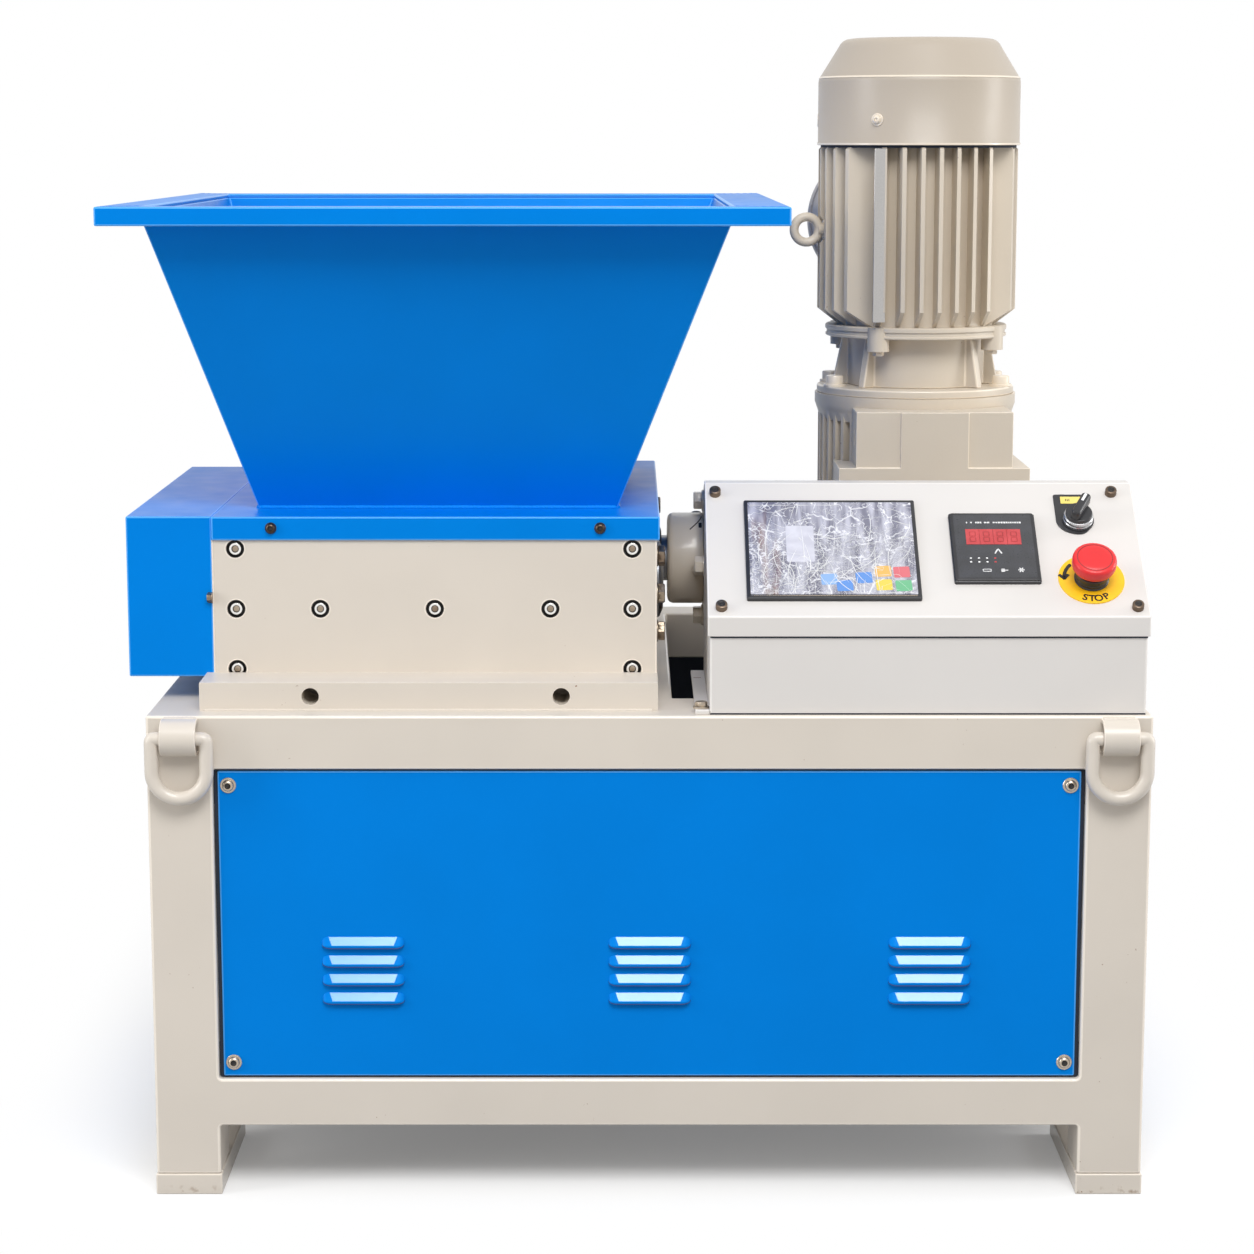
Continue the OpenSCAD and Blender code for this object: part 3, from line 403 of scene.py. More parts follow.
def enamel(name, colour, shadow, peel, depth, roughness, rust=0.0, floor_wear=0.0, **gloss):
    """Sprayed enamel: orange peel of a few millimetres that breaks up the reflections, a faint
    unevenness of tone from coat to coat, and where asked small rusty chips and scuffs at the floor."""
    tree, shader, where = new_material(name, IOR=1.5, **gloss)
    drops = add(tree, "TexNoise", {"Vector": where, "Scale": 1000 / peel, "Detail": 1.5})
    coats = add(tree, "TexNoise", {"Vector": where, "Scale": 1000 / 110})
    share = add(tree, "MapRange", {0: coats, 1: 0.35, 2: 0.65})
    tone = add(tree, "Mix", {0: share, 6: shadow, 7: colour}, 2, data_type="RGBA")
    haze = add(tree, "TexNoise", {"Vector": where, "Scale": 1000 / 26, "Detail": 3.0})
    grey = add(tree, "MapRange", {0: haze, 1: 0.3, 2: 0.7, 3: roughness * 0.92, 4: roughness * 1.1})
    if rust:
        lumps = add(tree, "TexNoise", {"Vector": where, "Scale": 1000 / 75, "Detail": 1.0})
        specks = add(tree, "TexNoise", {"Vector": where, "Scale": 1000 / 4.5})
        patch = add(tree, "MapRange", {0: lumps, 1: 0.56, 2: 0.66})
        fleck = add(tree, "MapRange", {0: specks, 1: 0.755 - 0.04 * rust, 2: 0.785 - 0.04 * rust})
        chip = add(tree, "Math", {0: patch, 1: fleck}, operation="MULTIPLY")
        tone = add(tree, "Mix", {0: chip, 6: tone, 7: linear("#8A6248")}, 2, data_type="RGBA")
        grey = add(tree, "Mix", {0: chip, 2: grey, 3: 0.8})
    if floor_wear:
        height = add(tree, "SeparateXYZ", {0: where}, 2)
        low = add(tree, "MapRange", {0: height, 1: 0.001, 2: floor_wear, 3: 1.0, 4: 0.0})
        scratch = add(tree, "TexNoise", {"Vector": where, "Scale": 1000 / 8, "Detail": 4.0})
        scuff = add(tree, "MapRange", {0: scratch, 1: 0.56, 2: 0.72})
        worn = add(tree, "Math", {0: low, 1: scuff}, operation="MULTIPLY")
        tone = add(tree, "Mix", {0: worn, 6: tone, 7: linear("#8A6C52")}, 2, data_type="RGBA")
    bump = add(tree, "Bump", {"Height": drops, "Distance": depth * MM, "Strength": 1.0})
    join(tree, shader, {"Base Color": tone, "Roughness": grey, "Normal": bump})


def enamel_edge_highlight(name, colour, **gloss):
    """The same enamel on a rounded edge: lighter and glossier, a painted highlight, and without peel."""
    tree, shader, where = new_material(name + " edge", IOR=1.5, **gloss)
    share = add(tree, "TexNoise", {"Vector": where, "Scale": 1000 / 40})
    tone = add(
        tree, "Mix", {0: share, 6: colour, 7: share_of(colour, 1.04)}, 2, data_type="RGBA")
    join(tree, shader, {"Base Color": tone, "Roughness": 0.3})


def bare_metal(name, colour, dark, roughness, grain, depth, stretch=(1, 1, 1), tarnish=0.0):
    """Bare metal: fine tool marks, drawn as coarse as they need to show, and a tarnish that makes
    it darker and duller in patches."""
    tree, shader, where = new_material(name, Metallic=1.0)
    along = add(tree, "Mapping", {"Vector": where, "Scale": stretch})
    marks = add(tree, "TexNoise", {"Vector": along, "Scale": 1000 / grain})
    clouds = add(tree, "TexNoise", {"Vector": where, "Scale": 1000 / 30, "Detail": 3.0})
    if tarnish:
        share = add(tree, "MapRange", {0: clouds, 1: 0.4, 2: 0.7, 4: tarnish})
    else:
        share = add(tree, "MapRange", {0: marks, 1: 0.3, 2: 0.9, 4: 0.4})
    tone = add(
        tree, "Mix", {0: share, 6: linear(colour), 7: linear(dark)}, 2, data_type="RGBA")
    grey = add(tree, "MapRange", {0: marks, 1: 0.3, 2: 0.7, 3: roughness - 0.06, 4: roughness + 0.08})
    bump = add(tree, "Bump", {"Height": marks, "Distance": depth * MM, "Strength": 1.0})
    join(tree, shader, {"Base Color": tone, "Roughness": grey, "Normal": bump})


def moulded(name, colour, second, roughness, grain, depth, **sockets):
    """A plastic moulding: a fine grain left by the mould, drawn as coarse as it needs to show, and a
    faint difference of tone."""
    tree, shader, where = new_material(name, **sockets)
    marks = add(tree, "TexNoise", {"Vector": where, "Scale": 1000 / grain})
    clouds = add(tree, "TexNoise", {"Vector": where, "Scale": 1000 / 14})
    share = add(tree, "MapRange", {0: clouds, 1: 0.35, 2: 0.7})
    tone = add(tree, "Mix", {0: share, 6: colour, 7: second}, 2, data_type="RGBA")
    grey = add(tree, "MapRange", {0: marks, 1: 0.3, 2: 0.7, 3: roughness - 0.04, 4: roughness + 0.05})
    bump = add(tree, "Bump", {"Height": marks, "Distance": depth * MM, "Strength": 1.0})
    join(tree, shader, {"Base Color": tone, "Roughness": grey, "Normal": bump})


def film_material(name):
    """Crumpled clear film over a switched off display: upright bands of lavender grey 9 mm apart, with
    white creases, painted highlights, along the borders of wandering cells of 24, 9 and 4 mm, closest
    together low down, and a brown stain at the left. Object coordinates are in metres."""
    tree, shader, where = new_material(name, IOR=1.5, Coat_Weight=0.6, Coat_Roughness=0.08)
    tall = add(tree, "Mapping", {"Vector": where, "Scale": (1.0, 0.16, 0.16)})
    upright = add(tree, "TexNoise", {"Vector": tall, "Scale": 1000 / 9, "Detail": 3.0})
    bands = add(tree, "MapRange", {0: upright, 1: 0.40, 2: 0.62})
    grey, pale = linear("#747486"), linear("#BEBECC")
    tone = add(tree, "Mix", {0: bands, 6: grey, 7: pale}, 2, data_type="RGBA")
    across = add(tree, "SeparateXYZ", {0: where}, 0)
    height = add(tree, "SeparateXYZ", {0: where}, 2)
    stain = add(tree, "TexNoise", {"Vector": tall, "Scale": 1000 / 22})
    left = add(tree, "MapRange", {0: across, 1: 0.135, 2: 0.155, 3: 0.5, 4: 0.0})
    brown = add(tree, "MapRange", {0: stain, 1: 0.56, 2: 0.66})
    warm = add(tree, "Math", {0: left, 1: brown}, operation="MULTIPLY")
    tone = add(tree, "Mix", {0: warm, 6: tone, 7: linear("#A8846C")}, 2, data_type="RGBA")
    bend = add(tree, "TexNoise", {"Vector": where, "Scale": 1000 / 30, "Detail": 3.0})
    push = add(tree, "MapRange", {0: bend, 1: 0.3, 2: 0.7, 3: 0.93, 4: 1.07})
    wander = add(tree, "VectorMath", {0: where, "Scale": push}, operation="SCALE")
    patches = add(tree, "TexNoise", {"Vector": where, "Scale": 1000 / 20})
    some = add(tree, "MapRange", {0: patches, 1: 0.52, 2: 0.62})
    low = add(tree, "MapRange", {0: height, 1: 0.604, 2: 0.622, 3: 1.0, 4: 0.0})
    lines = 0.0
    # The white crease lines are painted highlights on the film.
    for size, width, share in ((24, 0.045, 1.0), (9, 0.05, some), (4, 0.06, low)):
        cells = add(
            tree, "TexVoronoi", {"Vector": wander, "Scale": 1000 / size}, "Distance",
            feature="DISTANCE_TO_EDGE")
        line = add(tree, "MapRange", {0: cells, 1: 0.0, 2: width, 3: 0.9, 4: 0.0})
        line = add(tree, "Math", {0: line, 1: share}, operation="MULTIPLY")
        lines = add(tree, "Math", {0: lines, 1: line}, operation="MAXIMUM")
    tone = add(tree, "Mix", {0: lines, 6: tone, 7: linear("#FBFBFF")}, 2, data_type="RGBA")
    bump = add(tree, "Bump", {"Height": lines, "Distance": 0.35 * MM, "Strength": 1.0})
    join(tree, shader, {"Base Color": tone, "Roughness": 0.16, "Normal": bump})


def studio_floor(reach):
    """A pale matt floor. Away from the machine the camera and its reflections see it as white as the
    sky, so that it has no far edge, and close to the machine they see it with its shadow. Of the light
    that falls on it, it sends back a third."""
    tree, shader, where = new_material("studio floor", Roughness=0.9, Specular_IOR_Level=0.0)
    bounce = add(tree, "LightPath", {}, "Is Diffuse Ray")
    light, dark = linear("#FCFCFC"), linear("#A4A4A4")
    tone = add(tree, "Mix", {0: bounce, 6: light, 7: dark}, 2, data_type="RGBA")
    join(tree, shader, {"Base Color": tone})
    across = add(tree, "SeparateXYZ", {0: where}, 0)
    along = add(tree, "SeparateXYZ", {0: where}, 1)
    spread = -1.0
    for axis, sign, edge in ((across, 1, reach[0]), (across, -1, reach[0]),
                             (along, -1, reach[1]), (along, 1, reach[2])):
        far = add(tree, "Math", {0: axis, 1: sign, 2: -edge}, operation="MULTIPLY_ADD")
        spread = add(tree, "Math", {0: spread, 1: far}, operation="MAXIMUM")
    white = add(
        tree, "MapRange", {0: spread, 1: -0.10, 2: 0.10, 3: 0.18, 4: 1.0},
        interpolation_type="SMOOTHSTEP")
    unseen = add(tree, "Math", {0: 1.0, 1: bounce}, operation="SUBTRACT")
    share = add(tree, "Math", {0: white, 1: unseen}, operation="MULTIPLY")
    glow = add(tree, "Emission", {"Color": (1, 1, 1, 1), "Strength": 1.0})
    surface = add(tree, "MixShader", {0: share, 1: shader.outputs[0], 2: glow})
    join(tree, tree.nodes["Material Output"], {"Surface": surface})


# What a user would change


class ShredderColours(bpy.types.PropertyGroup):
    """Colours of the painted and printed surfaces."""

    beige: bpy.props.FloatVectorProperty(
        name="Beige", description="Enamel of the frame, chamber, gearbox and motor",
        subtype="COLOR", size=4, min=0, max=1, default=linear("#DAD1C5"))
    blue: bpy.props.FloatVectorProperty(
        name="Blue", description="Enamel of the hopper, the gear cover and the side panels",
        subtype="COLOR", size=4, min=0, max=1, default=linear("#0080DE"))
    cream: bpy.props.FloatVectorProperty(
        name="Cream", description="Powder coat of the control box",
        subtype="COLOR", size=4, min=0, max=1, default=linear("#DDD9D5"))
    yellow: bpy.props.FloatVectorProperty(
        name="Yellow", description="Label under the stop button",
        subtype="COLOR", size=4, min=0, max=1, default=linear("#FFC810"))
    red: bpy.props.FloatVectorProperty(
        name="Red", description="Mushroom head of the stop button",
        subtype="COLOR", size=4, min=0, max=1, default=linear("#E8262A"))


class ShredderSizes(bpy.types.PropertyGroup):
    """Sizes of edges and fittings."""

    frame_edge: bpy.props.FloatProperty(
        name="Frame edge", description="Radius of the frame's edges",
        default=2.5 * MM, min=0, unit="LENGTH")
    plate_edge: bpy.props.FloatProperty(
        name="Plate edge", description="Radius of the edges of plates and bars",
        default=1.4 * MM, min=0, unit="LENGTH")
    sheet_edge: bpy.props.FloatProperty(
        name="Sheet edge", description="Radius of the folds of sheet metal covers",
        default=2.0 * MM, min=0, unit="LENGTH")
    cast_edge: bpy.props.FloatProperty(
        name="Casting edge", description="Radius of the edges of the gearbox casting",
        default=3.5 * MM, min=0, unit="LENGTH")
    louvre_width: bpy.props.FloatProperty(
        name="Louvre width", description="Width of one louvre",
        default=76 * MM, min=10 * MM, unit="LENGTH")
    louvre_pitch: bpy.props.FloatProperty(
        name="Louvre pitch", description="Distance from one louvre to the next below it",
        default=17.7 * MM, min=8 * MM, unit="LENGTH")
    louvre_rise: bpy.props.FloatProperty(
        name="Louvre rise", description="Height of a louvre above its panel",
        default=5.2 * MM, min=1 * MM, unit="LENGTH")
    bead: bpy.props.FloatProperty(
        name="Weld bead", description="Radius of the weld beads",
        default=2.4 * MM, min=0.5 * MM, unit="LENGTH")


class ShredderStage(bpy.types.PropertyGroup):
    """Light and camera."""

    sky: bpy.props.FloatProperty(
        name="Sky", description="Strength of the soft light from straight above", default=0.75, min=0)
    horizon: bpy.props.FloatProperty(
        name="Horizon", description="Strength of the soft light from the sides", default=0.25, min=0)
    key: bpy.props.FloatProperty(
        name="Key", description="Power of the large soft lamp high in front, in watts",
        default=122, min=0)
    side: bpy.props.FloatProperty(
        name="Side strips", description="Power of each tall strip lamp at the sides, in watts",
        default=32, min=0)


def size_of(context, name):
    """A size of the property group, in millimetres."""
    return getattr(context.scene.shredder_sizes, name) / MM


# Operators


class SHREDDER_OT_finishes(bpy.types.Operator):
    """Make the materials of all pieces"""

    bl_idname = "shredder.finishes"
    bl_label = "Finishes"

    def execute(self, context):
        colours = context.scene.shredder_colours
        beige, blue, cream = tuple(colours.beige), tuple(colours.blue), tuple(colours.cream)
        red, yellow = tuple(colours.red), tuple(colours.yellow)
        warm = (beige[0] * 0.96, beige[1] * 0.93, beige[2] * 0.87, 1.0)
        spun = (beige[0] * 0.67, beige[1] * 0.64, beige[2] * 0.60, 1.0)
        # Two part enamel sprayed on steel plate: semi gloss, with a fine orange peel.
        enamel("beige enamel", beige, share_of(beige, 0.965), 3.0, 0.025, 0.40, rust=0.35)
        # Each edge finish below is a lighter copy of its enamel: a painted highlight along the rounded
        # edges.
        enamel_edge_highlight("beige enamel", share_of(beige, 1.22), Coat_Weight=0.5)
        enamel("worn beige enamel", beige, share_of(beige, 0.94), 3.0, 0.03, 0.40, 1.0, 0.010,
               Coat_Weight=0.5, Coat_Roughness=0.2)
        # Its edge finish is lighter: a painted highlight.
        enamel_edge_highlight("worn beige enamel", share_of(beige, 1.12), Coat_Weight=0.3)
        # The same enamel on sand cast iron: the grit of the mould shows through it. It is drawn ten
        # times as coarse as the sand, so that it shows.
        enamel("beige enamel on castings", warm, share_of(warm, 0.95), 2.6, 0.06, 0.40, 0.7)
        # Its edge finish is lighter: a painted highlight.
        enamel_edge_highlight("beige enamel on castings", share_of(warm, 1.2), Coat_Weight=0.3)
        # The same enamel on spun sheet, an even coat whose highlights are broad, made darker than on the
        # frame: painted shade for the dimmer light on the motor.
        enamel("beige enamel on sheet in painted shade", spun, share_of(spun, 0.985), 4.2, 0.05, 0.36)
        # A cast box in a neutral mid grey, darker than the beige round it.
        stone = linear("#A6A4A8")
        enamel("grey enamel on castings", stone, share_of(stone, 0.95), 2.6, 0.05, 0.40)
        # Gloss enamel on sheet steel: its blue is so deep that even its gloss looks blue.
        deep = {"Specular_IOR_Level": 0.3, "Specular_Tint": linear("#61BCFF")}
        enamel("blue enamel", blue, share_of(blue, 0.96), 3.0, 0.02, 0.36, **deep)
        # Its edge finish is a lighter blue: a painted highlight.
        enamel_edge_highlight("blue enamel", linear("#4FA6F4"), Specular_Tint=linear("#BCE7FF"))
        # Powder coat on folded sheet: almost matt and very even.
        enamel("cream powder coat", cream, share_of(cream, 0.98), 1.6, 0.015, 0.42)
        # Its edge finish is lighter: a painted highlight.
        enamel_edge_highlight("cream powder coat", share_of(cream, 1.12))
        # Stronger gloss where the sheet was stretched over the press tool, and a lighter blue for the flat
        # face of each hood's slope: a painted highlight.
        pressed = linear("#62B0F2")
        enamel("blue enamel on hoods with painted highlight", pressed, share_of(pressed, 0.96), 3.0, 0.01, 0.24, Coat_Weight=0.6,
               Coat_Roughness=0.16)
        # Where the lip of a hood turns under, a dark blue bead: painted shade under the lip.
        moulded("blue enamel in painted shade under lips", linear("#003C82"), linear("#00347A"), 0.4, 3.0, 0.01)
        # Near black blue on the tabs and sheets behind the panels: painted shade in the gaps round them.
        enamel("painted shade behind panels", linear("#0A1A30"), linear("#081424"), 3.0, 0.02, 0.6)
        # Fasteners: polished and brushed stainless, zinc dulled by handling, and blackened or browned
        # screws, whose tool marks and tarnish keep them from shining evenly.
        bare_metal("polished steel", "#F2F0EC", "#D8D4CE", 0.22, 1.2, 0.004)
        bare_metal("stainless steel", "#BEB2A2", "#786856", 0.26, 1.2, 0.01)
        bare_metal("zinc plated steel", "#A89A88", "#6A5444", 0.36, 1.5, 0.03, tarnish=0.9)
        bare_metal("worn zinc", "#BDB2A2", "#8A7866", 0.36, 1.5, 0.03, tarnish=0.9)
        bare_metal("blackened steel", "#5C4E44", "#2E2622", 0.30, 1.2, 0.02, tarnish=0.6)
        bare_metal("browned steel", "#7A6A5C", "#3E342C", 0.34, 1.2, 0.02, tarnish=0.5)
        # Turned and ground shafts and plates: marks run round the axis, so they are thin along X.
        bare_metal("machined steel", "#9C9EA2", "#6C6E72", 0.34, 3.0, 0.02, (6, 1, 1), 0.5)
        # Hardened tool steel, ground flat and darkened by heat treatment.
        bare_metal("tool steel", "#74767A", "#3C3C40", 0.36, 2.5, 0.03, (1, 3, 3), 0.8)
        # A drawn aluminium strip and a satin chrome ring: both mirror softly, as fine grain scatters light.
        bare_metal("bright aluminium", "#B8B6B4", "#9A9896", 0.34, 1.2, 0.006)
        bare_metal("chrome plate", "#C8C8CA", "#8A8A8C", 0.3, 3.0, 0.004)
        # Mouldings: ABS cases with a fine grain, glossy polyamide for the buttons.
        black, face = linear("#232326"), linear("#303135")
        moulded("black ABS", black, linear("#2C2C30"), 0.34, 0.9, 0.01, IOR=1.54)
        moulded("grey ABS face", face, linear("#38393F"), 0.30, 1.2, 0.01, IOR=1.54, Coat_Weight=0.3)
        moulded("red polyamide", red, share_of(red, 0.88), 0.36, 1.2, 0.015, IOR=1.53)
        # Labels and windows: printed polyester film, smooth, and ink that is duller than the film.
        moulded("yellow label film", yellow, share_of(yellow, 0.93), 0.38, 2.0, 0.01, IOR=1.5)
        moulded("pale label film", linear("#F2DC7A"), linear("#ECD468"), 0.38, 2.0, 0.01, IOR=1.5)
        moulded("white print and painted crease highlight", linear("#F0F0F0"), linear("#DCDCDC"), 0.5, 1.0, 0.005)
        moulded("printed black", linear("#141414"), linear("#1C1C1C"), 0.5, 1.0, 0.005)
        window = linear("#C03A3E")
        moulded("red window", window, linear("#CC464A"), 0.18, 2.0, 0.004, IOR=1.49, Coat_Weight=0.4)
        moulded("dark red print and painted groove shade", linear("#9A2A2C"), linear("#B03436"), 0.3, 2.0, 0.004)
        # Painted shade for deep gaps and sockets, where hardly any light comes out, and rust bled from a
        # screw.
        moulded("socket shade", linear("#141110"), linear("#241E1A"), 0.5, 1.0, 0.01)
        moulded("gap in painted shade", linear("#0C1626"), linear("#141E30"), 0.8, 3.0, 0.01)
        moulded("rust", linear("#8A5E40"), linear("#6E4A34"), 0.85, 1.5, 0.1)
        film_material("film over display")
        studio_floor((0.56, 0.325, 0.75))
        return {"FINISHED"}


class SHREDDER_OT_frame(bpy.types.Operator):
    """Make the welded frame, its feet and the tabs behind the panels"""

    bl_idname = "shredder.frame"
    bl_label = "Frame"

    def execute(self, context):
        edge = size_of(context, "frame_edge")
        eased(
            "frame_weldment", ["posts", "top_rails", "bottom_rails", "table_top"], edge,
            "beige enamel")
        eased("foot_bars", "feet", edge * 0.6, "worn beige enamel")
        # The tabs behind the panels are near black: painted shade in the gaps round the panels.
        eased("corner_tabs", "panel_tabs", 0.6, "painted shade behind panels")
        posts, rail = span("posts"), span("bottom_rails")
        foot = span("feet")
        bead = size_of(context, "bead")
        inner = posts[1][0] - POST
        front = posts[1][1]
        beads = []
        for x in (-1, 1):
            for y in (-1, 1):
                beads.append(weld_bead(
                    (x * (inner + 1), y * (front - 4), rail[0][2] + 0.5),
                    (x * (inner + 1), y * (front - 48), rail[0][2] + 0.5), bead))
                beads.append(weld_bead(
                    (x * (inner + 0.5), y * (front - 5), foot[1][2]),
                    (x * (inner + 0.5), y * (front - 56), foot[1][2]), bead * 0.8))
        piece("frame_weld_beads", beads, ["worn beige enamel"], "frame")
        return {"FINISHED"}


def louvre(width, rise, tall=10.6, sheet=1.2):
    """A pressed hood: a straight slope that leaves the panel at the top, a rounded nose and a free
    lower lip, carried along X. Near both ends it shrinks by sqrt(1 - t^2), a quarter of a circle.
    With it come the bead along its lip and the flat face of its slope."""
    u = np.concatenate([np.linspace(0, 0.11, 9), np.linspace(0.12, 0.88, 5), np.linspace(0.89, 1, 9)])
    end = np.minimum(u, 1 - u) / 0.11
    grow = np.sqrt(np.clip(1 - (1 - np.minimum(end, 1)) ** 2, 0.0004, 1))
    top, foot, bend = tall / 2, -tall / 2, rise * 0.36
    nose = np.radians(np.linspace(35, -60, 6))
    curve = np.stack([rise - bend + bend * np.cos(nose), foot + bend + bend * np.sin(nose)], -1)
    outer = np.concatenate([[[0, top], [0.7, top - 0.35]], curve])
    inner = outer[::-1] + [-sheet, 0]
    inner[:, 0] = np.clip(inner[:, 0], 0, None)
    section = np.concatenate([outer, inner[:-1]])
    reach = (u - 0.5)[:, None] * width * np.ones(len(section))
    out = section[None, :, 0] * (0.12 + 0.88 * grow[:, None])
    drop = section[None, :, 1] * (0.3 + 0.7 * grow[:, None]) - 0.6 * (1 - grow[:, None])
    lip = np.stack([reach[:, 0], drop[:, 7], out[:, 7] - 0.2], -1)
    (high_out, high), (low_out, low) = outer[1], curve[0]
    face = np.array([
        [[side * (width / 2 - inset), level, lift + raised] for side in (-1, 1)
         for inset, level, lift in ((6.4, high, high_out), (9.4, low + 0.2, low_out))]
        for raised in (-0.4, 0.14)])[:, [0, 1, 3, 2]]
    return skin(np.stack([reach, drop, out], -1)), rod(lip, 0.25 + 0.5 * grow, 8), skin(face)


class SHREDDER_OT_panels(bpy.types.Operator):
    """Make the four side panels with their louvres and screws"""

    bl_idname = "shredder.panels"
    bl_label = "Side panels"

    def execute(self, context):
        width = size_of(context, "louvre_width")
        pitch = size_of(context, "louvre_pitch")
        rise = size_of(context, "louvre_rise")
        hood, lip, slope = louvre(width, rise)
        shade_plate = pad(width * 0.88, 7.0, 2.0, [(0, 0), (0, 0.25), (0.3, 0.3)])
        screw_side, screw_end = 9.8, 13.4
        louvre_foot, columns = 75.4, (-264.5, 0.5, 259.5)
        faces = {"front": (FRONT, RIGHT, True), "rear": (BACK, LEFT, True),
                 "left": (LEFT, FRONT, False), "right": (RIGHT, BACK, False)}
        for side, (out, right, vented) in faces.items():
            node = side + "_panel"
            low, high = span(node)
            eased(node + "_sheet", node, 1.5, "blue enamel", segments=2)
            middle, half = (low + high) / 2, (high - low) / 2
            face = middle + out * (half @ np.abs(out))
            reach = half @ np.abs(right)
            screws = [
                part for sx in (-1, 1) for sz in (-1, 1)
                for part in set_at(
                    button_screw(), face + right * sx * (reach - screw_side)
                    + UP * sz * (half[2] - screw_end), out, right, 17 * sx + 40 * sz)
            ]
            piece(node + "_screws", screws, ["stainless steel", "socket shade"], "frame")
            # A near black sheet behind each panel: painted shade in the gaps round it.
            back = pad(2 * reach + 6.8, 2 * half[2] + 6.8, 0.5, [(0, -0.2), (0, 0.6)])
            back = place(back, middle - out * (half @ np.abs(out)), -out, right)
            piece(node + "_painted_shade_backing", [back], ["painted shade behind panels"], "frame")
            if not vented:
                continue
            spots = [
                face + right * x + UP * (low[2] + louvre_foot + row * pitch - middle[2])
                for x in columns for row in range(4)
            ]
            # Each hood's lip bead is in painted shade and the flat face of its slope in a painted
            # highlight; the dark plate under it is painted shade too.
            hoods = [
                (place(shape, spot, out, right), mark)
                for shape, mark in ((hood, 0), (lip, 2), (slope, 3)) for spot in spots
            ]
            slots = [(place(shade_plate, spot + DOWN * 0.8, out, right), 1) for spot in spots]
            piece(node + "_louvres", hoods + slots,
                  ["blue enamel", "gap in painted shade", "blue enamel in painted shade under lips", "blue enamel on hoods with painted highlight"],
                  "frame", smooth=24)
        return {"FINISHED"}


def ring_path(half, bend, side, count=9):
    """Centre line of a D shaped ring in X and Z: a straight bar, two quarter bends, two sides and a
    half circle, all in one closed loop from the middle of the bar."""
    bar = half - bend
    return np.concatenate([
        np.linspace((-bar, 0, 0), (bar, 0, 0), 6)[:-1],
        arc((bar, 0, -bend), bend, 90, 0, count),
        np.linspace((half, 0, -bend), (half, 0, -side), 5)[1:-1],
        arc((0, 0, -side), half, 0, -180, 4 * count),
        np.linspace((-half, 0, -side), (-half, 0, -bend), 5)[1:-1],
        arc((-bar, 0, -bend), bend, 180, 90, count)[:-1],
    ])


class SHREDDER_OT_rings(bpy.types.Operator):
    """Make the four lifting rings and the straps that hold them"""

    bl_idname = "shredder.rings"
    bl_label = "Lifting rings"

    def execute(self, context):
        bend = 3.5
        for side_y in ("front", "rear"):
            for side_x in ("left", "right"):
                node = f"ring_{side_y}_{side_x}"
                low, high = span(node)
                rod_r = (high[1] - low[1]) / 2
                half = (high[0] - low[0]) / 2 - rod_r
                drop = high[2] - low[2] - 2 * rod_r
                top = np.array([(low[0] + high[0]) / 2, (low[1] + high[1]) / 2, high[2] - rod_r])
                loop = rod(ring_path(half, bend, drop - half) + top, rod_r, 20, True, across=BACK)
                body = "ring_" + side_y[0] + side_x[0]
                piece(node + "_rod", [loop], ["worn beige enamel"], body, [node], 60)
        eased("strap_loops", "ring_straps", 1.0, "worn beige enamel")
        low, high = span("ring_straps")
        post = span("posts")[1]
        rod_low, rod_high = span("ring_rear_right")
        x_mid = (rod_low[0] + rod_high[0]) / 2
        bead = size_of(context, "bead")
        wide = high[0] - x_mid
        beads = []
        for x in (-1, 1):
            for y in (-1, 1):
                for z in (low[2] + 0.6, high[2] - 0.6):
                    beads.append(weld_bead(
                        (x * (x_mid - wide + 1), y * (post[1] + 0.6), z),
                        (x * (x_mid + wide - 1), y * (post[1] + 0.6), z), bead * 0.85))
        piece("strap_weld_beads", beads, ["worn beige enamel"], "frame")
        return {"FINISHED"}


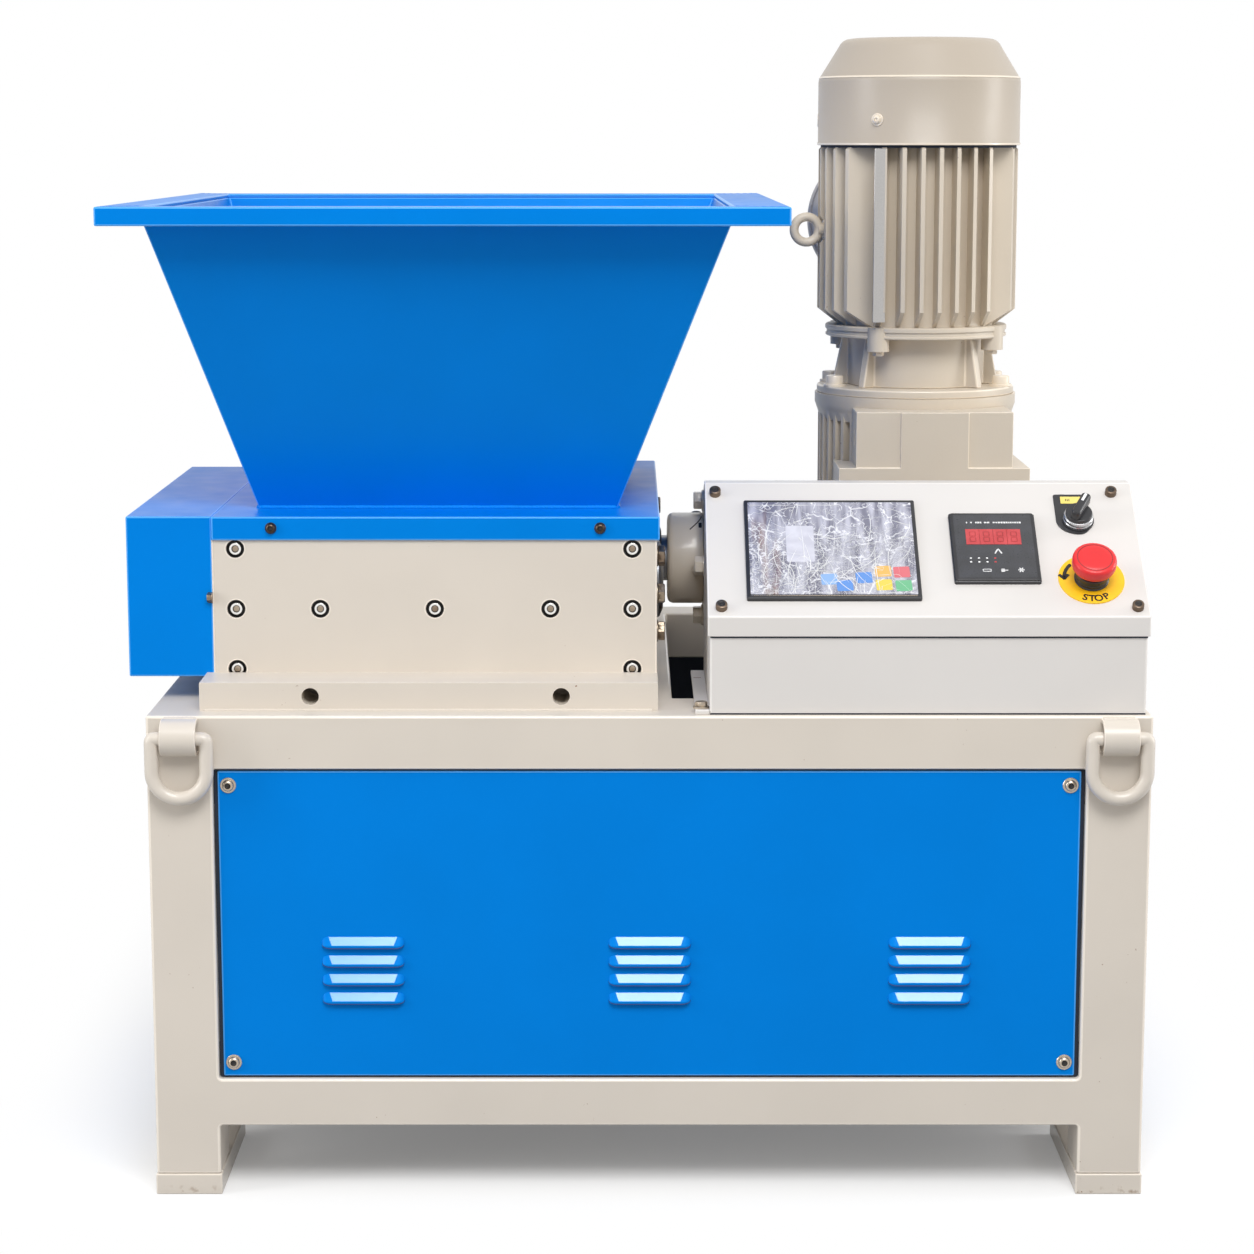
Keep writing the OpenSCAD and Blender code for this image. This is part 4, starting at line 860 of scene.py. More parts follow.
class SHREDDER_OT_chamber(bpy.types.Operator):
    """Make the chamber's plates, bars, combs, bearing caps and screws"""

    bl_idname = "shredder.chamber"
    bl_label = "Shredding chamber"

    def execute(self, context):
        edge = size_of(context, "plate_edge")
        low, high = span("chamber_front_plate")
        middle_x = (low[0] + high[0]) / 2
        columns = middle_x + np.array([-185.5, -107, 0, 108, 184.5])
        top, mid, bottom = high[2] - 8.5, high[2] - 65, low[2] + 29
        spots = [(x, mid) for x in columns]
        spots += [(x, z) for x in columns[[0, -1]] for z in (top, bottom)]
        bore, depth = 8.4, 8.0
        cut = turned([
            (0, -depth), (bore, -depth), (bore, -0.9), (bore + 0.7, -0.2), (bore + 1.3, 0.2),
            (bore + 1.3, 3), (0, 3)], 40)
        # Round each screw a ring in the lighter edge finish at the bore's mouth is a painted highlight, and
        # the bore's floor and wall in socket shade are painted shade.
        rim = hoop([
            (bore + 0.1, -0.5), (bore + 1.5, -0.5), (bore + 1.4, 0.15), (bore + 0.5, 0.3)], 48)
        base = turned([(0, 0), (bore - 0.1, 0), (bore - 0.1, 0.3), (0, 0.3)], 32)
        wall = hoop([
            (bore - 0.05, 0.3), (bore - 0.05, depth - 1.3), (bore - 0.4, depth - 1.3),
            (bore - 0.4, 0.3)], 40)
        for node, out in (("chamber_front_plate", FRONT), ("chamber_rear_plate", BACK)):
            face = span(node)[0][1] if out is FRONT else span(node)[1][1]
            at = [np.array([x, face, z]) for x, z in spots]
            holes = [place(cut, point, out) for point in at]
            eased(node + "_drilled", node, 0.0, "beige enamel", holes=holes)
            skins = []
            for i, point in enumerate(at):
                seat = point - out * (depth - 0.2)
                skins += set_at(socket_screw(5.6, 6.8, 2.8, 0.5, 1.0, 2), seat, out, RIGHT, 11 * i)
                skins.append((place(rim, point, out), 3))
                skins.append((place(base, point - out * (depth - 0.1), out), 1))
                skins.append((place(wall, point - out * depth, out), 1))
            piece(node + "_screws", skins,
                  ["polished steel", "socket shade", "zinc plated steel", "beige enamel edge"],
                  "frame")
            # Thin rods in the lighter edge finish along both upright edges of the plate: painted highlight
            # lines.
            level = face - out[1] * 0.3
            edges = [
                rod([(x, level, low[2]), (x, level, high[2])], 0.8, across=RIGHT)
                for x in (low[0] + 0.3, high[0] - 0.3)]
            piece(node + "_edge_highlights", edges, ["beige enamel edge"], "frame")
        eased("left_bearing_block", "left_bearing_plate", edge, "beige enamel")
        eased("right_bearing_block", "right_bearing_plate", edge, "beige enamel")
        eased("foot_rails", "base_bars", edge, "beige enamel")
        eased("comb_bars", "combs", 0.7, "tool steel", segments=2)
        faces = [
            (span("right_bearing_plate")[1][0], RIGHT, 20), (span("left_bearing_plate")[0][0], LEFT, 0)]
        bolts = [
            place(hex_bolt(8.5, 6.5, 10.5, 2.0), (x, y, z), out, UP, 13 * i + turn * (y > 0))
            for x, out, turn in faces for y in (-198, 198) for i, z in enumerate((586, 550, 514))
        ]
        cover_bolt = (span("gear_cover")[1][0], low[1] - 1.5, 553)
        bolts.append(place(hex_bolt(4.4, 4.2, 5.4, 0.9), cover_bolt, LEFT, UP, 8))
        piece("bearing_plate_bolts", bolts, ["zinc plated steel"], "frame")
        self.caps()
        bar = span("base_bars")
        bead = size_of(context, "bead")
        beads = [
            weld_bead((bar[0][0] + 4, y * (bar[1][1] + 0.4), bar[0][2] + 0.4),
                      (bar[1][0] - 4, y * (bar[1][1] + 0.4), bar[0][2] + 0.4), bead * 0.55)
            for y in (-1, 1)
        ]
        piece("foot_rail_weld_beads", beads, ["beige enamel"], "frame")
        return {"FINISHED"}

    def caps(self):
        """Bearing caps: a turned ring with a conical face and four screws."""
        low, high = span("bearing_caps")
        radius = (high[2] - low[2]) / 2
        shaft_y, shaft_z = high[1] - radius, (low[2] + high[2]) / 2
        thick = high[0] - low[0]
        bore, screw_circle = SHAFT_BORE, 33.5
        ring = [
            (bore, 0), (radius, 0), (radius, thick * 0.45), (radius - 1.2, thick * 0.6),
            (bore + 6, thick - 0.3), (bore + 4.5, thick), (bore + 0.6, thick), (bore, thick - 0.6)]
        skins = []
        for y in (-shaft_y, shaft_y):
            at = np.array([low[0], y, shaft_z])
            skins.append((place(hoop(ring), at, RIGHT, UP), 0))
            for turn in QUARTERS:
                spot = at + screw_circle * ray(turn, BACK, UP) + RIGHT * 3.4
                skins += [(shape, 1) for shape, _ in set_at(socket_screw(2.9, 3.4, 1.4), spot, RIGHT, UP)]
        piece("bearing_cap_rings", skins, ["machined steel", "blackened steel"], "frame",
              ["bearing_caps"])


def vertices_of(mesh):
    """The vertices of a mesh, one row each."""
    points = np.zeros(len(mesh.vertices) * 3, np.float32)
    mesh.vertices.foreach_get("co", points)
    return points.reshape(-1, 3)


def box_round(points):
    """Four corners of the rectangle round some points, in X and Y."""
    (x0, y0), (x1, y1) = points[:, :2].min(0), points[:, :2].max(0)
    return [(x0, y0), (x1, y0), (x1, y1), (x0, y1)]


class SHREDDER_OT_hopper(bpy.types.Operator):
    """Make the hopper, its rim, the cover plate below it and the gear cover beside it"""

    bl_idname = "shredder.hopper"
    bl_label = "Hopper and gear cover"

    def execute(self, context):
        edge = size_of(context, "plate_edge")
        sheet = size_of(context, "sheet_edge")
        bead = size_of(context, "bead")
        eased("cover_plate", "hopper_cover", edge, "blue enamel")
        eased("hopper_funnel", "hopper_walls", 1.2, "blue enamel")
        eased("hopper_lip", "hopper_rim", 1.6, "blue enamel")
        eased("gear_cover_box", "gear_cover", sheet, "blue enamel")
        low, high = span("hopper_cover")
        points = vertices_of(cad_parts["hopper_walls"].data) / MM
        z = high[2] + 0.6
        feet = [(x, y, z) for x, y in box_round(points[points[:, 2] < high[2] + 1])]
        beads = [weld_bead(feet[i], feet[(i + 1) % 4], bead * 1.1) for i in range(4)]
        top = points[:, 2].max()
        tops = box_round(points[points[:, 2] > top - 1])
        centre = np.float64(feet[0][0] + feet[1][0]) / 2
        for (fx, fy, fz), (tx, ty) in zip(feet, tops):
            inward = np.array([np.sign(centre - fx) * 4.6, -np.sign(fy) * 4.6, 0])
            beads.append(weld_bead(
                np.array([fx, fy, fz + 6]) + inward, np.array([tx, ty, top - 6]) + inward, bead * 0.8, 6))
        rim = span("hopper_rim")
        for tx, ty in tops:
            rx = rim[0][0] if tx < centre else rim[1][0]
            ry = math.copysign(rim[1][1], ty)
            beads.append(weld_bead(
                (tx + 2 * np.sign(centre - tx), ty - 2 * np.sign(ty), rim[1][2] - 0.45),
                (rx + 2 * np.sign(centre - rx), ry - 2 * np.sign(ry), rim[1][2] - 0.45), 0.8, 9))
        piece("hopper_weld_beads", beads, ["blue enamel"], "frame")
        middle = (low[0] + high[0]) / 2
        screws = [
            part for x in (middle - 153, middle + 153) for y in (-1, 1)
            for part in set_at(
                button_screw(4.8, 5.4, 1.9), (x, y * high[1], high[2] - 10.5), y * BACK, RIGHT, x)
        ]
        cover = span("gear_cover")
        screws += [
            part for height in (510, 600)
            for part in set_at(
                button_screw(4.6, 6.0, 1.6), (cover[1][0] - 12, cover[1][1], height), BACK, RIGHT, 20)
        ]
        piece("cover_screws", screws, ["blackened steel", "socket shade"], "frame")
        return {"FINISHED"}


class SHREDDER_OT_rotors(bpy.types.Operator):
    """Make the shafts, cutters, spacers and the coupling"""

    bl_idname = "shredder.rotors"
    bl_label = "Rotors and coupling"

    def execute(self, context):
        for name, body in (("drive", "drive_rotor"), ("driven", "driven_rotor")):
            eased(f"{name}_shaft_bar", f"{name}_shaft", 0.8, "machined steel", body)
            eased(f"{name}_cutter_set", f"{name}_cutters", 0.5, "tool steel", body,
                  segments=2)
            eased(f"{name}_spacer_set", f"{name}_spacers", 0.6, "tool steel", body,
                  segments=2)
        low, high = span("coupling")
        radius = (high[2] - low[2]) / 2
        length = high[0] - low[0]
        bore = SHAFT_BORE
        profile = [
            (bore, 0), (radius - 7, 0), (radius - 3.2, 0.9), (radius - 1.0, 3.0), (radius, 6),
            (radius, length - 1.6), (radius - 0.5, length - 0.5), (radius - 1.6, length), (bore, length)]
        at = np.array([low[0], (low[1] + high[1]) / 2, (low[2] + high[2]) / 2])
        skins = [(place(hoop(profile, 96), at, RIGHT, UP), 0)]
        for turn in (-8, 112, 232):
            way = ray(turn, FRONT, UP)
            seat = at + RIGHT * (length - 6.5) + way * (radius - 0.8)
            skins.append((place(turned(knob_profile(5.8, 0, 3.4, 2.6, 6), 28), seat, way), 0))
        way = np.array([0, -0.60, 0.80])
        key = place(pad(3.2, 7, 0.6, [(0, 0), (0, 0.5)]), at + RIGHT * (length - 3.4)
                    + way * (radius - 0.2), way, RIGHT)
        turn = np.radians(np.linspace(46, 72, 12))
        scratch = at + np.stack([
            length - 14 + 12 * np.sin(np.linspace(0, 1.5, 12)),
            -(radius - 0.3) * np.cos(turn), (radius - 0.3) * np.sin(turn)], -1)
        skins += [(key, 1), (rod(scratch, 0.8, 8, across=RIGHT), 1)]
        # The hub and its studs take the lighter edge finish of the castings all over: painted light on the
        # shaded hub.
        piece("coupling_hub", skins, ["beige enamel on castings edge", "blackened steel"], "drive_rotor",
              ["coupling"])
        return {"FINISHED"}


class SHREDDER_OT_gearbox(bpy.types.Operator):
    """Make the gearbox with its output flange, ribbed barrel and bolts"""

    bl_idname = "shredder.gearbox"
    bl_label = "Gearbox"

    def execute(self, context):
        edge = size_of(context, "cast_edge")
        cast = "beige enamel on castings"
        eased("gearbox_casting", "gearbox_case", edge, cast, segments=4)
        eased("barrel_casting", "gearbox_barrel", 1.0, cast, segments=2)
        low, high = span("gearbox_output")
        radius = (high[2] - low[2]) / 2
        at = np.array([low[0], (low[1] + high[1]) / 2, (low[2] + high[2]) / 2])
        case = span("gearbox_case")
        neck, flange, reach = 62.0, 14.0, high[0] - low[0]
        profile = [
            (0, 0), (radius - 14, 0), (radius - 13, 1.2), (radius - 2, 1.2), (radius - 0.6, 1.8),
            (radius, 3), (radius, flange - 2), (radius - 1.5, flange), (neck + 7, flange + 1.5),
            (neck + 2, flange + 4), (neck, flange + 10), (neck, reach - 8), (neck + 3, reach - 2.5),
            (neck + 8, reach), (0, reach),
        ]
        skins = [(place(turned(profile, 96), at, RIGHT, UP), 0)]
        for turn in (0, 90, 180, 270):
            spot = at + RIGHT + ray(turn, BACK, UP) * 60
            skins.append((place(hex_bolt(8.5, 8.5, 11.0, 2.6), spot, LEFT, UP, turn / 3), 1))
        # The bolts take the lighter edge finish: painted highlight.
        piece("gearbox_neck", skins, [cast, cast + " edge"], "frame", ["gearbox_output"])
        bar = pad(3.6, 19, 1.7, [(0, -0.5), (0, 0.6), (0.6, 1.0)])
        bar = place(bar, (case[0][0] + 24.2, -38, 682), LEFT, UP, 90)
        piece("gearbox_slot_mark", [bar], [cast], "frame")
        return {"FINISHED"}


class SHREDDER_OT_motor(bpy.types.Operator):
    """Make the motor with its flange, bell, end shield, fins, cowl, terminal box and eye bolt"""

    bl_idname = "shredder.motor"
    bl_label = "Motor"

    def execute(self, context):
        cast = "beige enamel on castings"
        eased("flange_plate", "motor_flange", 1.6, cast)
        eased("bell_casting", "motor_bell", 1.5, cast, segments=2)
        eased("shield_casting", "motor_end_shield", 1.3, cast, segments=2)
        eased("finned_casting", "motor_barrel", 0.8, cast, segments=2)
        eased("terminal_neck", "terminal_box", 1.5, "grey enamel on castings", segments=2)
        flange = span("motor_flange")
        axis = (flange[0] + flange[1]) / 2
        self.axis = np.array([axis[0], axis[1], 0])
        self.fittings(cast)
        self.cowl()
        self.terminal_lid("grey enamel on castings")
        self.eye(cast)
        return {"FINISHED"}

    def fittings(self, cast):
        """Screws of the flange and the end shield, the strip on the front fins and the shield's rims."""
        flange, shield = span("motor_flange"), span("motor_end_shield")
        skins = []
        head = turned([
            (0, 0), (11.4, 0), (11.4, 1.8), (11, 2.2), (8.8, 2.2), (8.8, 9.6), (8.2, 10.6), (7, 11),
            (0, 11)])
        for turn in (20, 160, 200, 340):
            at = self.axis + ray(turn) * 90 + UP * flange[1][2]
            skins.append((place(head, at), 1))
        for turn in range(59, 360, 90):
            at = self.axis + ray(turn) * 85.5 + UP * shield[0][2]
            skins.append((place(hex_bolt(5.0, 3.6, 6.0, 1.0), at, DOWN, RIGHT, turn), 1))
        # The flange screws and the shield's nuts take the lighter edge finish: painted highlight.
        piece("motor_bolts", skins, [cast, cast + " edge"], "frame")
        along, beside = ray(270 + MOTOR_TURN), ray(180 + MOTOR_TURN)
        strip = pad(171, 12.4, 0.5, [(0, -1.2), (0, -0.2), (0.2, 0)])
        strip = place(strip, self.axis + 85.6 * along + 58 * beside + UP * 880.5, along, UP)
        piece("fin_strip", [strip], ["bright aluminium"], "frame")
        low, high = shield[1][2] - 12, shield[1][2]
        radius = 91.0
        groove = turned([
            (0, high - 5.2), (radius + 0.9, high - 5.2), (radius + 1.5, high - 4.4),
            (radius + 1.5, high - 1.2), (radius + 0.6, high - 0.4), (0, high - 0.4)], 128)
        foot = turned([
            (0, low + 0.4), (radius + 0.6, low + 0.4), (radius + 1.2, low + 1.0),
            (radius + 1.2, low + 2.6), (radius + 0.5, low + 3.2), (0, low + 3.2)], 128)
        piece("shield_rims", [place(groove, self.axis), place(foot, self.axis)], [cast], "frame")

    def cowl(self):
        """Spun cowl: straight side with a rolled lower edge, cone, rounded crown and inlet rings."""
        low, high = span("fan_cowl")
        radius = (high[0] - low[0]) / 2
        crown, foot, top = 78.0, low[2], high[2]
        shoulder = foot + 68
        profile = [
            (0, foot + 3), (radius - 1.6, foot + 3), (radius - 1.4, foot), (radius - 0.3, foot),
            (radius + 0.5, foot + 0.5), (radius + 0.5, foot + 2.6), (radius, foot + 3.2),
            (radius, shoulder - 5), (radius - 0.5, shoulder - 2), (radius - 1.8, shoulder + 0.6),
            (radius - 3.4, shoulder + 3), (crown + 4.5, top - 9), (crown + 2.2, top - 5),
            (crown - 0.6, top - 2.2), (crown - 4, top - 0.6), (crown - 8, top), (crown - 14, top),
            (crown - 14.6, top - 2.5),
        ]
        for k in range(4):
            outer = crown - 15.5 - k * 13
            profile += [
                (outer, top - 2.5), (outer - 0.8, top - 0.8), (outer - 7, top - 0.8),
                (outer - 7.8, top - 2.5)]
        profile += [(8, top - 2.5), (6, top - 0.4), (0, top - 0.2)]
        # A thin ring at the shoulder and another at the lower edge take the lighter edge finish: painted
        # highlight lines.
        fold = hoop([
            (radius - 3, shoulder - 1.4), (radius - 0.3, shoulder - 1.4), (radius - 0.9, shoulder - 0.1),
            (radius - 3, shoulder + 1)], 128)
        hem = hoop([(radius - 1, foot + 0.4), (radius + 0.9, foot + 0.5), (radius + 0.9, foot + 2.2),
                    (radius - 1, foot + 2.8)], 128)
        skins = [(place(turned(profile, 128), self.axis), 0)]
        skins += [(place(shape, self.axis), 1) for shape in (fold, hem)]
        piece("cowl_shell", skins, ["beige enamel on sheet in painted shade", "beige enamel on castings edge"],
              "frame", ["fan_cowl"], 40)
        bars = []
        for turn in range(0, 180, 45):
            bar = pad(2 * crown - 24, 5, 1.5, [(0, -2.5), (0, -0.6), (0.6, -0.2)])
            bars.append(place(bar, self.axis + UP * top, UP, ray(turn + 14)))
        piece("cowl_inlet_bars", bars, ["beige enamel on sheet in painted shade"], "frame")
        level = self.axis + UP * (foot + 25)
        # The screws and plug take the lighter edge finish: painted highlight.
        screws = [
            shape for turn in (61, 151, 241)
            for shape, _ in set_at(
                button_screw(4.3, 6.3, 1.5), level + ray(turn) * (radius - 0.5), ray(turn), UP, turn)
        ]
        plug, way = turned([(0, 0), (6.6, 0), (6.6, 0.5), (6.2, 0.8), (0, 0.8)], 32), ray(176)
        screws.append(place(plug, level + way * (radius - 0.3), way))
        piece("cowl_screws", screws, ["beige enamel on castings edge"], "frame")
        # A dark disc just inside the cowl's lower edge: painted shade under the cowl.
        lip = turned([
            (0, foot - 2.4), (radius - 3, foot - 2.4), (radius - 3, foot + 1), (0, foot + 1)], 96)
        piece("cowl_shade", [place(lip, self.axis)], ["gap in painted shade"], "frame")

    def terminal_lid(self, cast):
        """The round lid of the terminal box, with its four screws."""
        low, high = span("terminal_box")
        way = ray(TERMINAL_TURN)
        at = self.axis + UP * (low[2] + high[2]) / 2
        radius, reach = 70.0, 150.0
        lid = turned([
            (0, reach - 13), (radius - 1, reach - 13), (radius - 1, reach - 12),
            (radius + 1.2, reach - 12), (radius + 1.6, reach - 11), (radius + 1.6, reach - 4),
            (radius, reach - 0.8), (radius - 3, reach + 0.4), (radius - 10, reach + 1),
            (radius - 12, reach + 2.6), (0, reach + 3),
        ], 96)
        skins = [(place(lid, at, way), 0)]
        for turn in QUARTERS:
            spot = at + way * (reach + 0.4) + 63 * ray(turn, np.cross(way, UP), UP)
            skins += [(shape, 1) for shape, _ in set_at(socket_screw(3.6, 3.2, 1.6), spot, way, UP)]
        piece("terminal_lid", skins, [cast, "zinc plated steel"], "frame")

    def eye(self, cast):
        """The eye bolt: a ring of round bar on a collared neck."""
        low, high = span("eye_bolt")
        way = -ray(MOTOR_TURN)
        rod_r = 4.6
        ring_r = (high[2] - low[2]) / 2 - 4.3
        centre = self.axis + way * 115 + UP * (low[2] + high[2]) / 2
        ring = rod(arc(centre, ring_r, 0, 357, 72, way, UP), rod_r, 20, True, np.cross(way, UP))
        neck = turned([
            (0, ring_r - 1), (7, ring_r - 1), (6.2, ring_r + 2.8), (6.2, ring_r + 4.2),
            (9.6, ring_r + 4.4), (10, ring_r + 4.8), (10, ring_r + 6.2), (9.6, ring_r + 6.6),
            (0, ring_r + 6.6)], 40)
        piece("eye_bolt_forging", [ring, place(neck, centre, -way)], [cast], "frame",
              ["eye_bolt"], 50)


class Lid:
    """The sloping lid of the control box: across it, up it, and out of it from its front left corner."""

    def __init__(self):
        self.across = RIGHT
        self.up = ray(LID_SLOPE, BACK, UP)
        self.out = np.cross(self.across, self.up)
        self.corner = span("control_lid")[0] + UP * LID_LIP

    def at(self, x, v, lift=0.0):
        """The point x across, v up and lift above the lid."""
        return self.corner + self.across * x + self.up * v + self.out * lift

    def put(self, shape, x, v, lift=0.0, spin=0.0):
        """Place a skin on the lid."""
        return place(shape, self.at(x, v, lift), self.out, self.across, spin)

    def fit(self, parts, x, v, lift=0.0, spin=0.0):
        """Place every part of a fitting on the lid."""
        return set_at(parts, self.at(x, v, lift), self.out, self.across, spin)


class SHREDDER_OT_control_box(bpy.types.Operator):
    """Make the control box with its lid, bracket and screws"""

    bl_idname = "shredder.control_box"
    bl_label = "Control box"

    def execute(self, context):
        sheet = size_of(context, "sheet_edge")
        eased("control_case", "control_body", sheet, "cream powder coat")
        eased("control_cover", "control_lid", 1.3, "cream powder coat")
        eased("control_foot", "control_bracket", 0.8, "cream powder coat")
        lid = Lid()
        screws = [
            part for x, v in ((9.5, 157), (382.5, 157), (12.6, 11), (391.8, 11))
            for part in lid.fit(socket_screw(5.4, 6.0, 2.7, 1.0, 0.6, 1), x, v, 0, 15 * x)
        ]
        piece("control_lid_screws", screws, ["browned steel", "socket shade"], "frame")
        low, high = span("control_body")
        middle, wide, front = (low[0] + high[0]) / 2, high[0] - low[0], low[1] + 0.2
        # Dark strips under the lid's lip and along the foot: painted shade in the seams.
        seam = pad(wide - 0.6, 1.3, 0.3, [(0, 0), (0, 1.0)])
        seam = place(seam, (middle, front, lid.corner[2] - LID_LIP - 0.8), FRONT)
        foot_gap = pad(wide - 1.0, 1.3, 0.3, [(0, 0), (0, 0.5)])
        foot_gap = place(foot_gap, (middle, front, low[2] + 0.6), FRONT)
        piece("control_seam_shades", [seam, foot_gap], ["gap in painted shade"], "frame")
        foot = span("control_bracket")
        middle = (foot[0][0] + foot[1][0]) / 2 - 1
        bolt = place(hex_bolt(5.2, 4.2, 7.4, 1.8), (middle, foot[0][1] + 12, foot[1][2]), spin=10)
        mark = pad(7.5, 1.2, 0.5, [(0, -0.3), (0, 0.12)])
        parts = [(bolt, 0), (place(mark, (middle, foot[1][1] - 42, foot[1][2])), 1)]
        piece("control_foot_bolt", parts, ["worn zinc", "rust"], "frame")
        return {"FINISHED"}


class SHREDDER_OT_screen(bpy.types.Operator):
    """Make the touch screen under its protective film"""

    bl_idname = "shredder.screen"
    bl_label = "Touch screen"

    def execute(self, context):
        lid = Lid()
        low, high = span("touch_screen")
        wide = high[0] - low[0]
        x, v, tall, thick = low[0] - lid.corner[0], 19.0, 126.0, 4.0
        centre = (x + wide / 2, v + tall / 2)
        bezel = pad(wide, tall, 1.6, [
            (0, 0), (0, thick - 0.9), (0.5, thick - 0.2), (1.1, thick), (3.2, thick), (3.6, thick - 0.3)])
        glass = pad(wide - 7, tall - 8, 1.0, [(0, thick - 0.35), (0, thick - 0.1), (0.2, thick - 0.05)])
        shift = 1.2
        skins = [(lid.put(bezel, *centre), 0), (lid.put(glass, centre[0], centre[1] + shift), 1)]
        # A thin stainless strip along the foot of the glass: a painted highlight line.
        bezel_highlight_strip = pad(wide - 8, 1.0, 0.3, [(0, thick - 0.1), (0.1, thick + 0.15)])
        skins.append((lid.put(bezel_highlight_strip, centre[0], v + 3.6), 2))
        piece("touch_screen_case", skins, ["black ABS", "film over display", "stainless steel"],
              "frame", ["touch_screen"])
        self.creases(lid, centre, wide - 12, tall - 14, thick)
        self.keys(lid, x, v, thick)
        return {"FINISHED"}

    def keys(self, lid, x, v, thick):
        """A pale picture on the display, and plain coloured fields at its foot."""
        fields = [("#E4B45C", 126, 34), ("#D86C74", 143, 33), ("#E6CE50", 126, 17), ("#6CB888", 144, 16),
                  ("#5C90D8", 90, 16), ("#5C90D8", 108, 26), ("#8AB0E0", 76, 24)]
        pale = pad(26, 46, 1.5, [(0, thick - 0.1), (0, thick + 0.01), (0.2, thick + 0.03)])
        moulded("display picture", linear("#C4C4D0"), linear("#DADAE4"), 0.2, 2.0, 0.02, Coat_Weight=0.5)
        piece("display_picture", [lid.put(pale, x + 51, v + 69)], ["display picture"], "frame")
        tile = pad(15, 13.5, 1.5, [(0, thick - 0.1), (0, thick + 0.02), (0.2, thick + 0.05)])
        for colour in sorted({field[0] for field in fields}):
            name, tint = "display field " + colour[1:], linear(colour)
            moulded(name, tint, tint, 0.2, 2.0, 0.02, Coat_Weight=0.5)
            tiles = [lid.put(tile, x + fx, v + fv, 0, 3) for key, fx, fv in fields if key == colour]
            piece("display_fields_" + colour[1:], tiles, [name], "frame")

    def creases(self, lid, centre, wide, tall, thick):
        """Creases in the film: thin white ridges, painted highlights, along arcs start + t * heading + bow
        * t (1 - t).
        """
        random = np.random.default_rng(7)
        ridges = []
        t = np.linspace(0, 1, 12)[:, None]
        for ridge in range(150):
            start = (random.random(2) - 0.5) * [wide, tall * (0.5 + 0.5 * (ridge % 2))]
            start[1] -= tall * 0.25 * (1 - ridge % 2)
            heading = random.normal(0, 1, 2) * [16, 26]
            bow = random.normal(0, 16, 2)
            line = start + t * heading + bow * t * (1 - t)
            line = np.clip(line, [-wide / 2, -tall / 2], [wide / 2, tall / 2])
            width = 0.12 + 0.35 * random.random()
            size = width * np.sin(math.pi * np.clip(t[:, 0], 0.02, 0.98)) ** 0.6
            path = np.insert(line, 2, thick - 0.05, 1) + random.normal(0, 1e-3, (12, 3))
            ridges.append(lid.put(rod(path, size, 5), *centre))
        piece("film_creases", ridges, ["white print and painted crease highlight"], "frame", smooth=60)


class SHREDDER_OT_meter(bpy.types.Operator):
    """Make the panel meter with its four digit window"""

    bl_idname = "shredder.meter"
    bl_label = "Panel meter"

    def execute(self, context):
        lid = Lid()
        low, high = span("panel_meter")
        wide, tall, thick = high[0] - low[0], 88.0, 3.0
        x, v = low[0] - lid.corner[0], 40.0
        middle = (x + wide / 2, v + tall / 2)
        case = pad(wide, tall, 2.0, [(0, 0), (0, thick - 0.4), (0.4, thick), (1.2, thick + 0.4)])
        rim = pad(wide - 2.4, tall - 2.4, 2.0, [(0, thick), (0, thick + 1.6), (2.4, thick + 2.2)])
        face = pad(wide - 7.6, tall - 7.6, 1.5, [(0, thick + 2.0), (0, thick + 2.3), (0.2, thick + 2.35)])
        skins = [(lid.put(case, *middle), 0), (lid.put(rim, *middle), 0), (lid.put(face, *middle), 1)]
        top = thick + 2.3

        def mark(width, height, mx, mv, index, lift=0.0, radius=0.3, spin=0.0):
            """A raised mark on the face, mx across and mv up from the corner of the case."""
            shape = pad(width, height, radius, [(0, top), (0, top + 0.12 + lift)])
            skins.append((lid.put(shape, x + mx, v + mv, 0, spin), index))

        # The window with its four digits, each of two rings, and the lines between them.
        centre, level, pitch = 39.5, 55.5, 12.75
        mark(4 * pitch, 19.5, centre, level, 2, 0.15)
        for digit in (-1.5, -0.5, 0.5, 1.5):
            for half in (-1, 1):
                mark(6.2, 6.2, centre + digit * pitch, level + half * 3.5, 3, 0.20, 1.2)
                mark(4.4, 4.4, centre + digit * pitch, level + half * 3.5, 2, 0.25, 0.7)
        for line in (-1, 0, 1):
            mark(0.5, 19, centre + line * pitch, level, 3, 0.22)
        # A line of small print above it, in strokes of uneven width.
        random = np.random.default_rng(3)
        cursor = 15.5
        while cursor < 65:
            step = 1.0 + 1.4 * random.random()
            if random.random() > 0.12:
                mark(step, 1.6 + 0.5 * random.random(), cursor + step / 2, 74.0, 4, radius=0.2)
            cursor += step + 0.5
        # The signs below it: a caret, two rows of dots that end in red, and the signs of three keys,
        # which are a hollow bar, a striped wedge and a star.
        for side in (-1, 1):
            mark(1.3, 6.6, 42.6 + side * 1.6, 37.2, 4, spin=side * 28)
        for column in range(4):
            for row in (28.4, 23.6):
                mark(2.0, 1.7, 16.6 + column * 7.5, row, 2 if column == 3 else 4, radius=0.8)
        mark(8.0, 3.4, 30.5, 13, 4, radius=0.8)
        mark(6.6, 1.8, 30.5, 13, 1, 0.05)
        for row in (-1.4, 0, 1.4):
            mark(6.6 - abs(row) * 2.4, 1.0, 46.6 - abs(row), 13 + row, 4)
        for spin in (0, 60, 120):
            mark(6.0, 1.1, 62, 13.4, 4, spin=spin)
        piece("panel_meter_case", skins,
              ["black ABS", "grey ABS face", "red window", "dark red print and painted groove shade", "white print and painted crease highlight"],
              "frame", ["panel_meter"])
        return {"FINISHED"}


